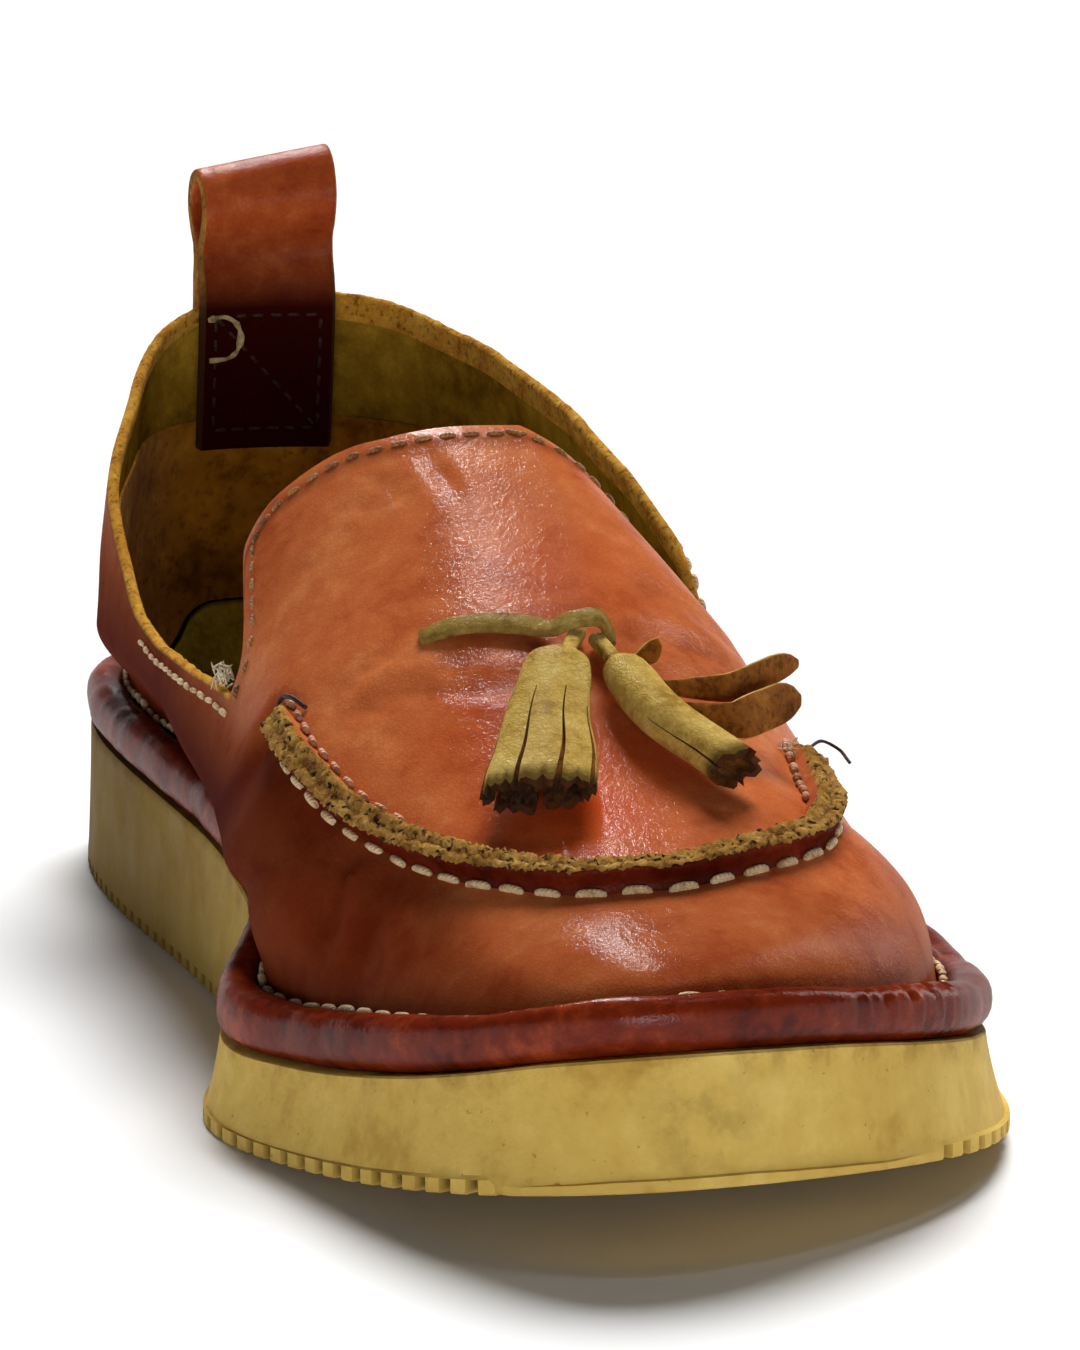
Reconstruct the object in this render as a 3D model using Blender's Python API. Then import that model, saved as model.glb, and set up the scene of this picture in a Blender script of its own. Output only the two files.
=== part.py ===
"""Tassel loafer, left shoe.

A flared wedge outsole with a toothed rim carries a rolled leather welt. Inside the welt stands the
hollow upper, drawn on its last, with a raised apron seam, a heel pull loop and two cut leather tassels.
Sizes are in millimetres and meshes are made in metres. The toe points to -Y, and the outer side of the
foot is +X.
"""
import math

import bmesh
import bpy
import numpy as np

MM = 0.001
GAP = 0.3
SHARP_EDGE = math.radians(40.0)

# Outline of the sole's top edge, seen from above, from the toe tip round the inner side.
OUTLINE = (
    # place, across, from_toe
    ("toe tip", -10.0, 0.0),
    ("inner toe", -31.5, 14.5),
    ("inner forepart", -48.2, 62.0),
    ("inner ball", -52.4, 90.0),
    ("inner ball back", -43.2, 115.0),
    ("inner waist", -36.2, 148.0),
    ("inner heel", -39.6, 232.0),
    ("inner heel corner", -27.4, 290.5),
    ("heel back", -0.8, 300.0),
    ("outer heel corner", 26.5, 287.0),
    ("outer heel", 38.0, 245.0),
    ("outer waist", 43.0, 172.0),
    ("outer ball", 57.4, 107.0),
    ("outer forepart", 47.0, 43.0),
    ("outer toe", 23.5, 14.0),
)
HEEL_BACK = 8
HEEL_X, HEEL_Y = OUTLINE[HEEL_BACK][1:]
SPAN_STEPS = 24

# Height of the sole's top face above the floor, a wedge that rises to the heel and to the sprung toe.
SOLE_TOP = (
    # from_toe, height
    (0.0, 29.0),
    (8.0, 26.8),
    (20.0, 23.2),
    (40.0, 18.4),
    (63.0, 14.5),
    (85.0, 12.6),
    (130.0, 17.2),
    (180.0, 23.6),
    (240.0, 25.0),
    (300.0, 25.0),
)
TOE_SPRING = 11.4
SPRING_START = 80.0
SPRING_POWER = 1.6

# How far the sole's foot stands out past its top edge.
SOLE_FLARE = (
    # from_toe, inner_flare, outer_flare
    (0.0, 2.6, 2.6),
    (45.0, 2.6, 3.6),
    (110.0, 2.6, 3.2),
    (200.0, 1.0, 0.8),
    (300.0, 0.8, 0.8),
)
# Teeth round the sole's lower rim: one tooth's steps as way along it and cut, worn away over the toe.
TEETH_PER_SIDE = 66
TOOTH_STEPS = ((0.0, 0.0), (0.35, 0.0), (0.5, 1.0), (0.85, 1.0))
NOTCH_DEPTH = 2.0
NOTCH_HEIGHT = 2.6
INNER_TOE_WORN_TO = 0.065
OUTER_TOE_WORN_TO = 0.115
WORN_FADE = 0.04

BEAD_WIDTH = 7.0
BEAD_OVERHANG = 0.6
BEAD_HEIGHT = 8.0
BEAD_SIDES = 10
BEAD_ROUND = 2.3

UPPER_WALL = 2.0
UPPER_LIFT = 0.5
UPPER_INSET = BEAD_WIDTH - BEAD_OVERHANG + GAP
RIBS_PER_SIDE = 44
UPPER_LEVELS = 10
CORNER_RIB = 21
RIB_TURN_FROM = 0.3
RIB_TURN_TO = 0.65

# The last: one row for each section, by its share of the way from the toe tip to the heel back.
# Round is the power of the section's curve, lean is how far the wall opens outwards above the welt.
LAST = (
    # share, crest, inner_round, outer_round, inner_lean, outer_lean
    (0.00, 0.0, 2.2, 2.2, 0.0, 0.0),
    (0.05, 11.4, 2.3, 2.43, 0.0, 0.0),
    (0.10, 16.9, 2.4, 2.46, 0.0, 0.6),
    (0.165, 23.9, 2.4, 2.45, 0.0, 1.1),
    (0.24, 35.4, 2.3, 2.3, 0.5, 1.4),
    (0.30, 45.2, 2.2, 1.75, 5.0, 1.0),
    (0.36, 54.4, 2.15, 1.62, 10.0, 0.9),
    (0.42, 61.9, 2.1, 1.62, 15.0, 0.8),
    (0.50, 71.8, 2.1, 1.47, 16.7, 1.0),
    (0.54, 75.4, 2.1, 1.75, 15.7, 7.0),
    (0.58, 79.4, 2.1, 2.05, 13.8, 9.5),
    (0.66, 88.7, 2.2, 2.15, 11.2, 9.0),
    (0.74, 102.0, 2.3, 2.3, 9.5, 7.5),
    (0.82, 114.0, 2.2, 2.5, 3.5, 4.0),
    (0.91, 121.0, 2.35, 2.6, 0.5, 0.5),
    (1.00, 125.0, 2.6, 2.6, 0.0, 0.0),
)
CREST, INNER_ROUND, OUTER_ROUND, INNER_LEAN, OUTER_LEAN = 1, 2, 3, 4, 5
LEAN_FROM = 6.5
LEAN_TO = 22.0
HEEL_CURVE_FROM = 0.7
HEEL_FORWARD = 9.2
HEEL_BULGE = 2.0
COLLAR_RISE = 72.0
NORMAL_STEP = 0.001

# Top edge of the upper on each side: the tongue's edge from its apex (0) to the throat corner (1).
INNER_TONGUE = (
    # way, share, angle
    (0.00, 0.497, 90.0),
    (0.13, 0.499, 81.2),
    (0.22, 0.501, 74.3),
    (0.31, 0.506, 67.7),
    (0.42, 0.511, 58.0),
    (0.52, 0.515, 50.3),
    (0.61, 0.511, 44.3),
    (0.68, 0.499, 41.8),
    (0.76, 0.485, 39.6),
    (0.87, 0.467, 36.6),
    (0.94, 0.459, 33.7),
    (1.00, 0.456, 29.6),
)
OUTER_TONGUE = (
    # way, share, angle
    (0.00, 0.497, 90.0),
    (0.15, 0.494, 81.0),
    (0.30, 0.497, 70.0),
    (0.42, 0.499, 62.0),
    (0.55, 0.500, 54.0),
    (0.70, 0.503, 46.0),
    (0.85, 0.507, 38.0),
    (1.00, 0.513, 31.0),
)
# The collar's edge from the throat corner (0) to the heel back (1).
INNER_COLLAR = (
    # way, share, angle
    (0.00, 0.456, 29.6),
    (0.12, 0.526, 23.2),
    (0.24, 0.602, 18.6),
    (0.32, 0.650, 17.5),
    (0.40, 0.690, 19.3),
    (0.50, 0.735, 21.6),
    (0.60, 0.780, 25.5),
    (0.70, 0.830, 28.5),
    (0.85, 0.920, 29.2),
    (1.00, 1.000, 29.0),
)
OUTER_COLLAR = (
    # way, share, angle
    (0.00, 0.513, 31.0),
    (0.08, 0.545, 31.0),
    (0.14, 0.562, 33.5),
    (0.21, 0.590, 36.0),
    (0.29, 0.622, 38.5),
    (0.39, 0.670, 37.7),
    (0.50, 0.734, 33.0),
    (0.62, 0.798, 29.4),
    (0.74, 0.863, 28.2),
    (0.86, 0.920, 28.7),
    (1.00, 1.000, 29.0),
)

# The apron seam's line on the last, from its inner end round the toe to its outer end.
SEAM_LINE = (
    # way, share, angle
    (0.00, 0.388, 40.9),
    (0.08, 0.350, 43.6),
    (0.14, 0.318, 46.4),
    (0.22, 0.277, 48.3),
    (0.29, 0.247, 50.4),
    (0.36, 0.214, 56.6),
    (0.44, 0.187, 66.6),
    (0.50, 0.169, 77.9),
    (0.55, 0.166, 89.1),
    (0.61, 0.177, 98.2),
    (0.68, 0.195, 109.6),
    (0.74, 0.219, 119.0),
    (0.80, 0.246, 123.4),
    (0.91, 0.303, 131.6),
    (1.00, 0.344, 133.6),
)
SEAM_STEPS = 44
SEAM_LIFT = 0.4
# Section of the seam's standing edges: across the seam and up from the upper.
SEAM_SECTION = ((-2.1, 0.0), (2.1, 0.0), (2.1, 2.2), (1.5, 3.4), (-1.5, 3.4), (-2.1, 2.2))

INSOLE_INSET = UPPER_INSET + UPPER_WALL + 1.8
INSOLE_LIFT = 0.4
INSOLE_THICKNESS = 3.0
INSOLE_STEPS = 44

LOOP_WIDTH = 23.7
LOOP_SHIFT = -1.5
LOOP_TILT = 0.17
LOOP_THICKNESS = 2.2
LOOP_COLUMNS = 5
LOOP_INNER_CLEARANCE = 0.7
LOOP_OUTER_CLEARANCE = 0.5
LOOP_LEG_LOW = 69.0
LOOP_LEG_HIGH = 96.0
LOOP_LEG_ROWS = 6
LOOP_TOP_CURVE = 0.1
# The standing part of the loop: height above the floor and distance behind the loop's middle.
LOOP_BOW = (
    # height, behind
    (99.5, -2.5),
    (103.0, -1.7),
    (106.0, -2.2),
    (109.0, -4.4),
    (113.0, -6.0),
    (116.5, -5.0),
    (118.8, -2.4),
    (119.4, 0.0),
    (118.8, 2.4),
    (116.5, 5.0),
    (113.0, 6.0),
    (109.0, 4.4),
    (106.0, 2.2),
    (103.0, 1.7),
    (99.5, 2.5),
)
HEEL_SEARCH_FROM = 0.84
HEEL_SEARCH_STEPS = 80
HEEL_SLOPE_STEP = 0.5

# The thong on the vamp: share and angle on the last, and the height of its middle above the leather.
THONG_WIDTH = 3.8
THONG_THICKNESS = 1.5
THONG_STEPS = 32
THONG_LINE = (
    # share, angle, lift
    (0.369, 68.5, 1.2),
    (0.366, 75.1, 1.5),
    (0.363, 80.7, 1.6),
    (0.358, 85.1, 1.9),
    (0.355, 87.2, 3.2),
    (0.355, 88.8, 4.9),
    (0.355, 90.6, 5.5),
    (0.355, 92.4, 4.9),
    (0.355, 94.2, 3.0),
    (0.354, 95.8, 1.4),
)
# Each strip of a tassel: where it starts and ends on the last, its lift and its shift to the side.
FRONT_STRIPS = (
    # start share and angle, end share and angle, start lift, end lift, start shift, end shift,
    # width, thickness
    (0.349, 89.4, 0.318, 87.4, 1.9, 3.6, 0.0, 0.0, 2.2, 2.0),
    (0.324, 86.6, 0.298, 84.6, 3.9, 4.4, 0.0, 0.0, 9.2, 6.2),
    (0.312, 85.6, 0.231, 75.4, 5.6, 5.4, -3.2, -6.2, 3.2, 2.6),
    (0.312, 85.6, 0.228, 75.2, 6.0, 6.2, -1.1, -2.1, 3.4, 2.6),
    (0.312, 85.6, 0.227, 75.2, 6.0, 6.2, 1.1, 2.1, 3.4, 2.6),
    (0.312, 85.6, 0.230, 75.4, 5.6, 5.4, 3.2, 6.2, 3.2, 2.6),
    (0.312, 85.6, 0.237, 75.8, 2.6, 2.4, -2.4, -4.7, 3.6, 3.0),
    (0.312, 85.6, 0.235, 75.8, 2.4, 2.4, 0.0, 0.0, 3.8, 3.0),
    (0.312, 85.6, 0.237, 75.8, 2.6, 2.4, 2.4, 4.7, 3.6, 3.0),
)
SIDE_STRIPS = (
    # start share and angle, end share and angle, start lift, end lift, start shift, end shift,
    # width, thickness
    (0.345, 91.4, 0.314, 96.2, 1.9, 3.4, 0.0, 0.0, 2.2, 2.0),
    (0.319, 95.6, 0.298, 98.4, 3.9, 4.4, 0.0, 0.0, 7.0, 5.8),
    (0.310, 97.0, 0.243, 104.0, 5.2, 5.4, -1.9, -2.6, 3.4, 2.8),
    (0.310, 97.0, 0.241, 104.0, 5.2, 5.6, 1.6, 2.2, 3.4, 2.8),
    (0.310, 97.0, 0.256, 106.4, 2.6, 2.7, -1.4, -2.0, 3.6, 3.0),
    (0.310, 97.0, 0.254, 106.4, 2.6, 2.7, 1.6, 2.4, 3.6, 3.0),
    (0.311, 97.0, 0.350, 124.4, 5.8, 11.0, 0.0, 0.0, 4.2, 1.6),
    (0.301, 97.0, 0.326, 124.0, 4.6, 9.0, 0.0, 0.0, 5.8, 1.6),
)
STRIP_STEPS = 5

RED_LEATHER = (164, 84, 54)
WELT_LEATHER = (122, 46, 26)
RAW_EDGE = (150, 104, 48)
OLIVE_LEATHER = (170, 146, 88)
INSOLE_LEATHER = (124, 94, 34)
CREPE = (190, 164, 100)


def closed_spline(points):
    """Points along the smooth closed curve through the outline's points, equal steps in each span."""
    pts = np.asarray(points, float)
    count = len(pts)
    following = np.roll(pts, -1, axis=0)
    step = np.sqrt(np.linalg.norm(following - pts, axis=1))
    slope = (following - pts) / step[:, None]
    system = np.zeros((count, count))
    for i in range(count):
        system[i, i - 1] += step[i - 1]
        system[i, i] += 2.0 * (step[i - 1] + step[i])
        system[i, (i + 1) % count] += step[i]
    bend = np.linalg.solve(system, 6.0 * (slope - np.roll(slope, 1, axis=0)))
    bend_next = np.roll(bend, -1, axis=0)
    ways = np.linspace(0.0, 1.0, SPAN_STEPS, endpoint=False)
    curve = []
    for i in range(count):
        for b in ways:
            a = 1.0 - b
            pull = ((a ** 3 - a) * bend[i] + (b ** 3 - b) * bend_next[i]) * step[i] ** 2 / 6.0
            curve.append(a * pts[i] + b * following[i] + pull)
    return np.array(curve)


def read_table(rows, column, at, root=False):
    """Value of one column by the first one, on a smooth curve that never overshoots its rows."""
    x = np.array([row[0] for row in rows], float)
    y = np.array([row[column] for row in rows], float)
    at = np.clip(np.asarray(at, float), x[0], x[-1])
    if root:
        x = np.sqrt(x)
        at = np.sqrt(at)
    width = np.diff(x)
    slope = np.diff(y) / width
    tangent = np.zeros(len(x))
    tangent[0] = slope[0]
    tangent[-1] = slope[-1]
    for i in range(1, len(x) - 1):
        if slope[i - 1] * slope[i] > 0.0:
            before = 2.0 * width[i] + width[i - 1]
            after = width[i] + 2.0 * width[i - 1]
            tangent[i] = (before + after) / (before / slope[i - 1] + after / slope[i])
    i = np.clip(np.searchsorted(x, at, side="right") - 1, 0, len(width) - 1)
    t = (at - x[i]) / width[i]
    ends = (2 * t ** 3 - 3 * t ** 2 + 1) * y[i] + (3 * t ** 2 - 2 * t ** 3) * y[i + 1]
    bends = (t ** 3 - 2 * t ** 2 + t) * tangent[i] + (t ** 3 - t ** 2) * tangent[i + 1]
    return ends + bends * width[i]


def ease(x):
    x = np.clip(x, 0.0, 1.0)
    return x * x * (3.0 - 2.0 * x)


RIM = closed_spline([row[1:] for row in OUTLINE])
RIM_RUN = np.roll(RIM, -1, axis=0) - np.roll(RIM, 1, axis=0)
RIM_RUN /= np.linalg.norm(RIM_RUN, axis=1)[:, None]
RIM_OUT = np.stack([RIM_RUN[:, 1], -RIM_RUN[:, 0]], axis=1)
RIM_OUT *= np.sign(np.sum((RIM - RIM.mean(axis=0)) * RIM_OUT))
INNER, OUTER = -1, 1
TOE_TO_HEEL = {
    INNER: np.arange(0, HEEL_BACK * SPAN_STEPS + 1),
    OUTER: np.append(0, np.arange(len(RIM) - 1, HEEL_BACK * SPAN_STEPS - 1, -1)),
}


def rim_at(side, share, inset):
    """Plan point on one side of the outline, moved inwards, by its share of the way from toe to heel."""
    order = TOE_TO_HEEL[side]
    base = RIM[order]
    run = np.append(0.0, np.cumsum(np.linalg.norm(np.diff(base, axis=0), axis=1)))
    line = base - RIM_OUT[order] * inset
    x = np.interp(share, run / run[-1], line[:, 0])
    y = np.interp(share, run / run[-1], line[:, 1])
    return np.stack([x, y], axis=-1)


def sole_bottom(from_toe):
    return TOE_SPRING * np.clip(1.0 - from_toe / SPRING_START, 0.0, None) ** SPRING_POWER


def sole_top(from_toe):
    return read_table(SOLE_TOP, 1, from_toe)


def last_point(share, angle):
    """Outer face of the upper: share runs from toe to heel, angle from the inner foot over to the outer."""
    share, angle = np.broadcast_arrays(np.asarray(share, float), np.asarray(angle, float))
    inner = rim_at(INNER, share, UPPER_INSET)
    outer = rim_at(OUTER, share, UPPER_INSET)
    middle = (inner + outer) / 2.0
    half = (inner - outer) / 2.0
    inside = np.cos(angle) > 0.0
    inner_round = read_table(LAST, INNER_ROUND, share)
    outer_round = read_table(LAST, OUTER_ROUND, share)
    power = 2.0 / np.where(inside, inner_round, outer_round)
    level = np.sign(np.cos(angle)) * np.abs(np.cos(angle)) ** power
    rise = read_table(LAST, CREST, share, root=True) * np.clip(np.sin(angle), 0.0, None) ** power
    inner_foot = sole_top(inner[..., 1])
    outer_foot = sole_top(outer[..., 1])
    foot = (inner_foot + outer_foot + (inner_foot - outer_foot) * level) / 2.0 + UPPER_LIFT
    lean = np.where(inside, read_table(LAST, INNER_LEAN, share), -read_table(LAST, OUTER_LEAN, share))
    lean = lean * ease((rise - LEAN_FROM) / (LEAN_TO - LEAN_FROM)) * np.sqrt(np.abs(level))
    across = half / np.maximum(np.linalg.norm(half, axis=-1), GAP)[..., None]
    plan = middle + half * level[..., None] + across * lean[..., None]
    heel = ease((share - HEEL_CURVE_FROM) / (1.0 - HEEL_CURVE_FROM))
    tall = np.clip(rise / COLLAR_RISE, 0.0, 1.0)
    back = heel * (HEEL_BULGE * np.sin(math.pi * tall) - HEEL_FORWARD * ease(tall))
    return np.stack([plan[..., 0], plan[..., 1] + back, foot + rise], axis=-1)


def last_normal(share, angle):
    """Outward direction of the upper's outer face."""
    ahead = last_point(np.clip(share + NORMAL_STEP, 0.0, 1.0), angle)
    behind = last_point(np.clip(share - NORMAL_STEP, 0.0, 1.0), angle)
    around = last_point(share, angle + NORMAL_STEP) - last_point(share, angle - NORMAL_STEP)
    normal = np.cross(around, ahead - behind)
    return normal / np.linalg.norm(normal, axis=-1)[..., None]


def side_angle(side, angle):
    return angle if side == INNER else math.pi - angle


def grid_faces(rows, columns, closed):
    """Quads of a grid of points stored row by row; closed joins the last column to the first."""
    faces = []
    for r in range(rows - 1):
        for c in range(columns if closed else columns - 1):
            low, high = r * columns, (r + 1) * columns
            after = (c + 1) % columns
            faces.append((low + c, low + after, high + after, high + c))
    return faces


def both_sides(inner_points, outer_points):
    """One closed loop from two toe-to-heel lines that share their first and last points."""
    return np.concatenate([inner_points, outer_points[-2:0:-1]])


def ladder_faces(start, rungs):
    """Quads across a loop made by both_sides, from the toe tip to the heel back."""
    total = 2 * rungs - 2
    faces = []
    for i in range(rungs - 1):
        quad = (start + i, start + i + 1, start + (total - i - 1) % total, start + (total - i) % total)
        faces.append(tuple(dict.fromkeys(quad)))
    return faces


def srgb(red, green, blue):
    def linear(value):
        value /= 255.0
        return value / 12.92 if value <= 0.04045 else ((value + 0.055) / 1.055) ** 2.4

    return (linear(red), linear(green), linear(blue), 1.0)


def finish(name, colour, roughness):
    """A plain leather or rubber finish."""
    material = bpy.data.materials.new(name)
    material.use_nodes = True
    shader = material.node_tree.nodes["Principled BSDF"]
    shader.inputs["Base Color"].default_value = srgb(*colour)
    shader.inputs["Roughness"].default_value = roughness
    shader.inputs["Metallic"].default_value = 0.0
    return material


def add_object(name, points, faces, material, closed=True):
    """A named mesh object from points in millimetres, centred on the sole's box and stood on the floor."""
    mesh = bpy.data.meshes.new(name)
    mesh.from_pydata([tuple(p) for p in (np.asarray(points) - CENTRE) * MM], [], faces)
    mesh.materials.append(material)
    if closed:
        work = bmesh.new()
        work.from_mesh(mesh)
        bmesh.ops.recalc_face_normals(work, faces=work.faces)
        work.to_mesh(mesh)
        work.free()
    mesh.shade_smooth()
    mesh.set_sharp_from_angle(angle=SHARP_EDGE)
    item = bpy.data.objects.new(name, mesh)
    bpy.context.scene.collection.objects.link(item)
    return item


def outsole_rings():
    """Bottom rim with its notches, the line above the notches, and the top edge."""
    shares = [(tooth + step) / TEETH_PER_SIDE for tooth in range(TEETH_PER_SIDE) for step, _ in TOOTH_STEPS]
    cuts = [cut for _ in range(TEETH_PER_SIDE) for _, cut in TOOTH_STEPS]
    shares = np.array(shares + [1.0])
    cuts = np.array(cuts + [0.0])
    rims, lines, tops = [], [], []
    for side in (INNER, OUTER):
        edge = rim_at(side, shares, 0.0)
        flare = read_table(SOLE_FLARE, 1 if side == INNER else 2, edge[:, 1])
        worn_to = INNER_TOE_WORN_TO if side == INNER else OUTER_TOE_WORN_TO
        worn = ease((shares - worn_to) / WORN_FADE)
        outward = rim_at(side, shares, -1.0) - edge
        low = sole_bottom(edge[:, 1])
        high = sole_top(edge[:, 1])
        rim = edge + outward * (flare - NOTCH_DEPTH * cuts * worn)[:, None]
        line = edge + outward * (flare * (1.0 - NOTCH_HEIGHT / (high - low)))[:, None]
        rims.append(np.column_stack([rim, low]))
        lines.append(np.column_stack([line, low + NOTCH_HEIGHT]))
        tops.append(np.column_stack([edge, high])[::len(TOOTH_STEPS)])
    return [both_sides(*ring) for ring in (rims, lines, tops)]


def make_outsole(material):
    rim, line, top = outsole_rings()
    steps = len(TOOTH_STEPS)
    count = len(rim)
    rungs = count // 2 + 1
    faces = ladder_faces(0, rungs) + grid_faces(2, count, True)
    faces += ladder_faces(2 * count, rungs // steps + 1)
    for i in range(count):
        over = 2 * count + (i + steps // 2) // steps % len(top)
        over_next = 2 * count + (i + 1 + steps // 2) // steps % len(top)
        quad = (count + i, count + (i + 1) % count, over_next, over)
        faces.append(tuple(dict.fromkeys(quad)))
    return add_object("outsole", np.concatenate([rim, line, top]), faces, material)


def make_welt(material):
    """A leather bead that lies on the sole's edge all the way round."""
    shares = np.linspace(0.0, 1.0, RIBS_PER_SIDE + 1)
    rings = []
    for corner in range(BEAD_SIDES):
        turn = 2.0 * math.pi * corner / BEAD_SIDES
        wide = math.copysign(abs(math.cos(turn)) ** (2.0 / BEAD_ROUND), math.cos(turn))
        tall = math.copysign(abs(math.sin(turn)) ** (2.0 / BEAD_ROUND), math.sin(turn))
        inset = BEAD_WIDTH / 2.0 * (1.0 - wide) - BEAD_OVERHANG
        sides = []
        for side in (INNER, OUTER):
            place = rim_at(side, shares, inset)
            high = sole_top(place[:, 1]) + GAP + BEAD_HEIGHT / 2.0 * (1.0 + tall)
            sides.append(np.column_stack([place, high]))
        rings.append(both_sides(*sides))
    count = len(rings[0])
    faces = grid_faces(BEAD_SIDES, count, True)
    last = (BEAD_SIDES - 1) * count
    faces += [(last + i, last + (i + 1) % count, (i + 1) % count, i) for i in range(count)]
    return add_object("rolled_welt", np.concatenate(rings), faces, material)


def make_insole(material):
    shares = np.linspace(0.0, 1.0, INSOLE_STEPS + 1)
    plan = both_sides(rim_at(INNER, shares, INSOLE_INSET), rim_at(OUTER, shares, INSOLE_INSET))
    low = sole_top(plan[:, 1]) + INSOLE_LIFT
    count = len(plan)
    points = np.concatenate([np.column_stack([plan, low]), np.column_stack([plan, low + INSOLE_THICKNESS])])
    faces = ladder_faces(0, INSOLE_STEPS + 1) + ladder_faces(count, INSOLE_STEPS + 1)
    faces += grid_faces(2, count, True)
    return add_object("insole", points, faces, material)


def top_edge(side, rib):
    """Share and angle where a rib meets the top edge, the tongue's and then the collar's."""
    if rib <= CORNER_RIB:
        rows = INNER_TONGUE if side == INNER else OUTER_TONGUE
        way = rib / CORNER_RIB
    else:
        rows = INNER_COLLAR if side == INNER else OUTER_COLLAR
        way = (rib - CORNER_RIB) / (RIBS_PER_SIDE - CORNER_RIB)
    return float(read_table(rows, 1, way)), math.radians(float(read_table(rows, 2, way)))


def upper_rib(side, rib):
    """Points up the wall from the welt to the top edge; ribs fan at the toe and are upright at the heel."""
    foot = rib / RIBS_PER_SIDE
    top_share, top_angle = top_edge(side, rib)
    way = np.linspace(0.0, 1.0, UPPER_LEVELS + 1)
    level = (1.0 - way) * foot + way * top_share * math.cos(top_angle)
    height = way * top_share * math.sin(top_angle)
    turn = ease((foot - RIB_TURN_FROM) / (RIB_TURN_TO - RIB_TURN_FROM))
    share = (1.0 - turn) * np.hypot(level, height) + turn * ((1.0 - way) * foot + way * top_share)
    angle = (1.0 - turn) * np.arctan2(height, level) + turn * way * top_angle
    return last_point(share, side_angle(side, angle))


def make_upper(material):
    """One leather wall, open underneath and at the collar, thickened inwards."""
    halves = {}
    for side in (INNER, OUTER):
        halves[side] = np.array([upper_rib(side, rib) for rib in range(RIBS_PER_SIDE + 1)])
    ribs = both_sides(halves[INNER], halves[OUTER])
    levels = [ribs[:, level] for level in range(UPPER_LEVELS + 1)]
    faces = [face[::-1] for face in grid_faces(UPPER_LEVELS + 1, len(ribs), True)]
    upper = add_object("upper", np.concatenate(levels), faces, material, closed=False)
    wall = upper.modifiers.new("wall", "SOLIDIFY")
    wall.thickness = UPPER_WALL * MM
    wall.offset = -1.0
    return upper


def sweep(places, aside, upward, section):
    """Closed bar: a section of (across, up) points carried along places."""
    rings = [places + aside * across + upward * up for across, up in section]
    count = len(places)
    sides = len(section)
    points = np.stack(rings, axis=1).reshape(-1, 3)
    faces = grid_faces(count, sides, True)
    faces.append(tuple(range(sides)))
    faces.append(tuple(range((count - 1) * sides, count * sides)))
    return points, faces


def on_last(share, angle):
    """Places on the upper with the directions along, across and out of it."""
    place = last_point(share, angle)
    upward = last_normal(share, angle)
    run = np.gradient(place, axis=0)
    run -= upward * np.sum(run * upward, axis=1)[:, None]
    run /= np.linalg.norm(run, axis=1)[:, None]
    return place, np.cross(run, upward), upward


def make_seam_ridge(material):
    """The apron's two raw edges, sewn back to back and standing up along a U on the vamp."""
    way = np.linspace(0.0, 1.0, SEAM_STEPS)
    share = read_table(SEAM_LINE, 1, way)
    angle = np.radians(read_table(SEAM_LINE, 2, way))
    place, aside, upward = on_last(share, angle)
    points, faces = sweep(place + upward * SEAM_LIFT, aside, upward, SEAM_SECTION)
    return add_object("seam_ridge", points, faces, material)


def heel_back(x, height):
    """From-toe distance of the upper's outer face at the heel, by the distance across and the height."""
    side = INNER if x < 0.0 else OUTER
    share = np.linspace(HEEL_SEARCH_FROM, 1.0, HEEL_SEARCH_STEPS)
    rise = height - float(sole_top(HEEL_Y)) - UPPER_LIFT
    power = read_table(LAST, INNER_ROUND if side == INNER else OUTER_ROUND, share) / 2.0
    angle = np.arcsin((rise / read_table(LAST, CREST, share, root=True)) ** power)
    wall = last_point(share, side_angle(side, angle))
    across = np.abs(wall[::-1, 0] - HEEL_X)
    return float(np.interp(abs(x), across, wall[::-1, 1]))


def loop_leg(x, height, stand):
    """Point of a leg's middle face that follows the heel, stand away from the upper's outer face."""
    y = heel_back(x, height)
    slope = (heel_back(x + math.copysign(HEEL_SLOPE_STEP, x), height) - y) / HEEL_SLOPE_STEP
    return (x + HEEL_X, y + stand * math.hypot(1.0, slope), height)


def make_pull_loop(material):
    """A strap sewn inside and outside the heel, with a bow for a finger above the collar."""
    half = LOOP_THICKNESS / 2.0
    inside = -(UPPER_WALL + LOOP_INNER_CLEARANCE + half)
    outside = LOOP_OUTER_CLEARANCE + half
    heights = np.linspace(LOOP_LEG_LOW, LOOP_LEG_HIGH, LOOP_LEG_ROWS)
    columns = LOOP_SHIFT + np.linspace(-LOOP_WIDTH / 2.0, LOOP_WIDTH / 2.0, LOOP_COLUMNS)
    middle = heel_back(0.0, LOOP_LEG_HIGH) + (inside + outside) / 2.0
    tallest = max(height for height, _ in LOOP_BOW)
    rows = [[loop_leg(x, height, inside) for x in columns] for height in heights]
    for height, behind in LOOP_BOW:
        flat = ease((height - LOOP_LEG_HIGH) / (tallest - LOOP_LEG_HIGH))
        keep = 1.0 - (1.0 - LOOP_TOP_CURVE) * flat
        bend = [heel_back(x, LOOP_LEG_HIGH) - heel_back(0.0, LOOP_LEG_HIGH) for x in columns]
        high = height + LOOP_TILT * flat * (columns - LOOP_SHIFT)
        rows.append([(x + HEEL_X, middle + behind + keep * b, z) for x, b, z in zip(columns, bend, high)])
    rows += [[loop_leg(x, height, outside) for x in columns] for height in heights[::-1]]
    points = np.array(rows).reshape(-1, 3)
    faces = grid_faces(len(rows), LOOP_COLUMNS, False)
    loop = add_object("pull_loop", points, faces, material, closed=False)
    strap = loop.modifiers.new("strap", "SOLIDIFY")
    strap.thickness = LOOP_THICKNESS * MM
    strap.offset = 0.0
    return loop


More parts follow.
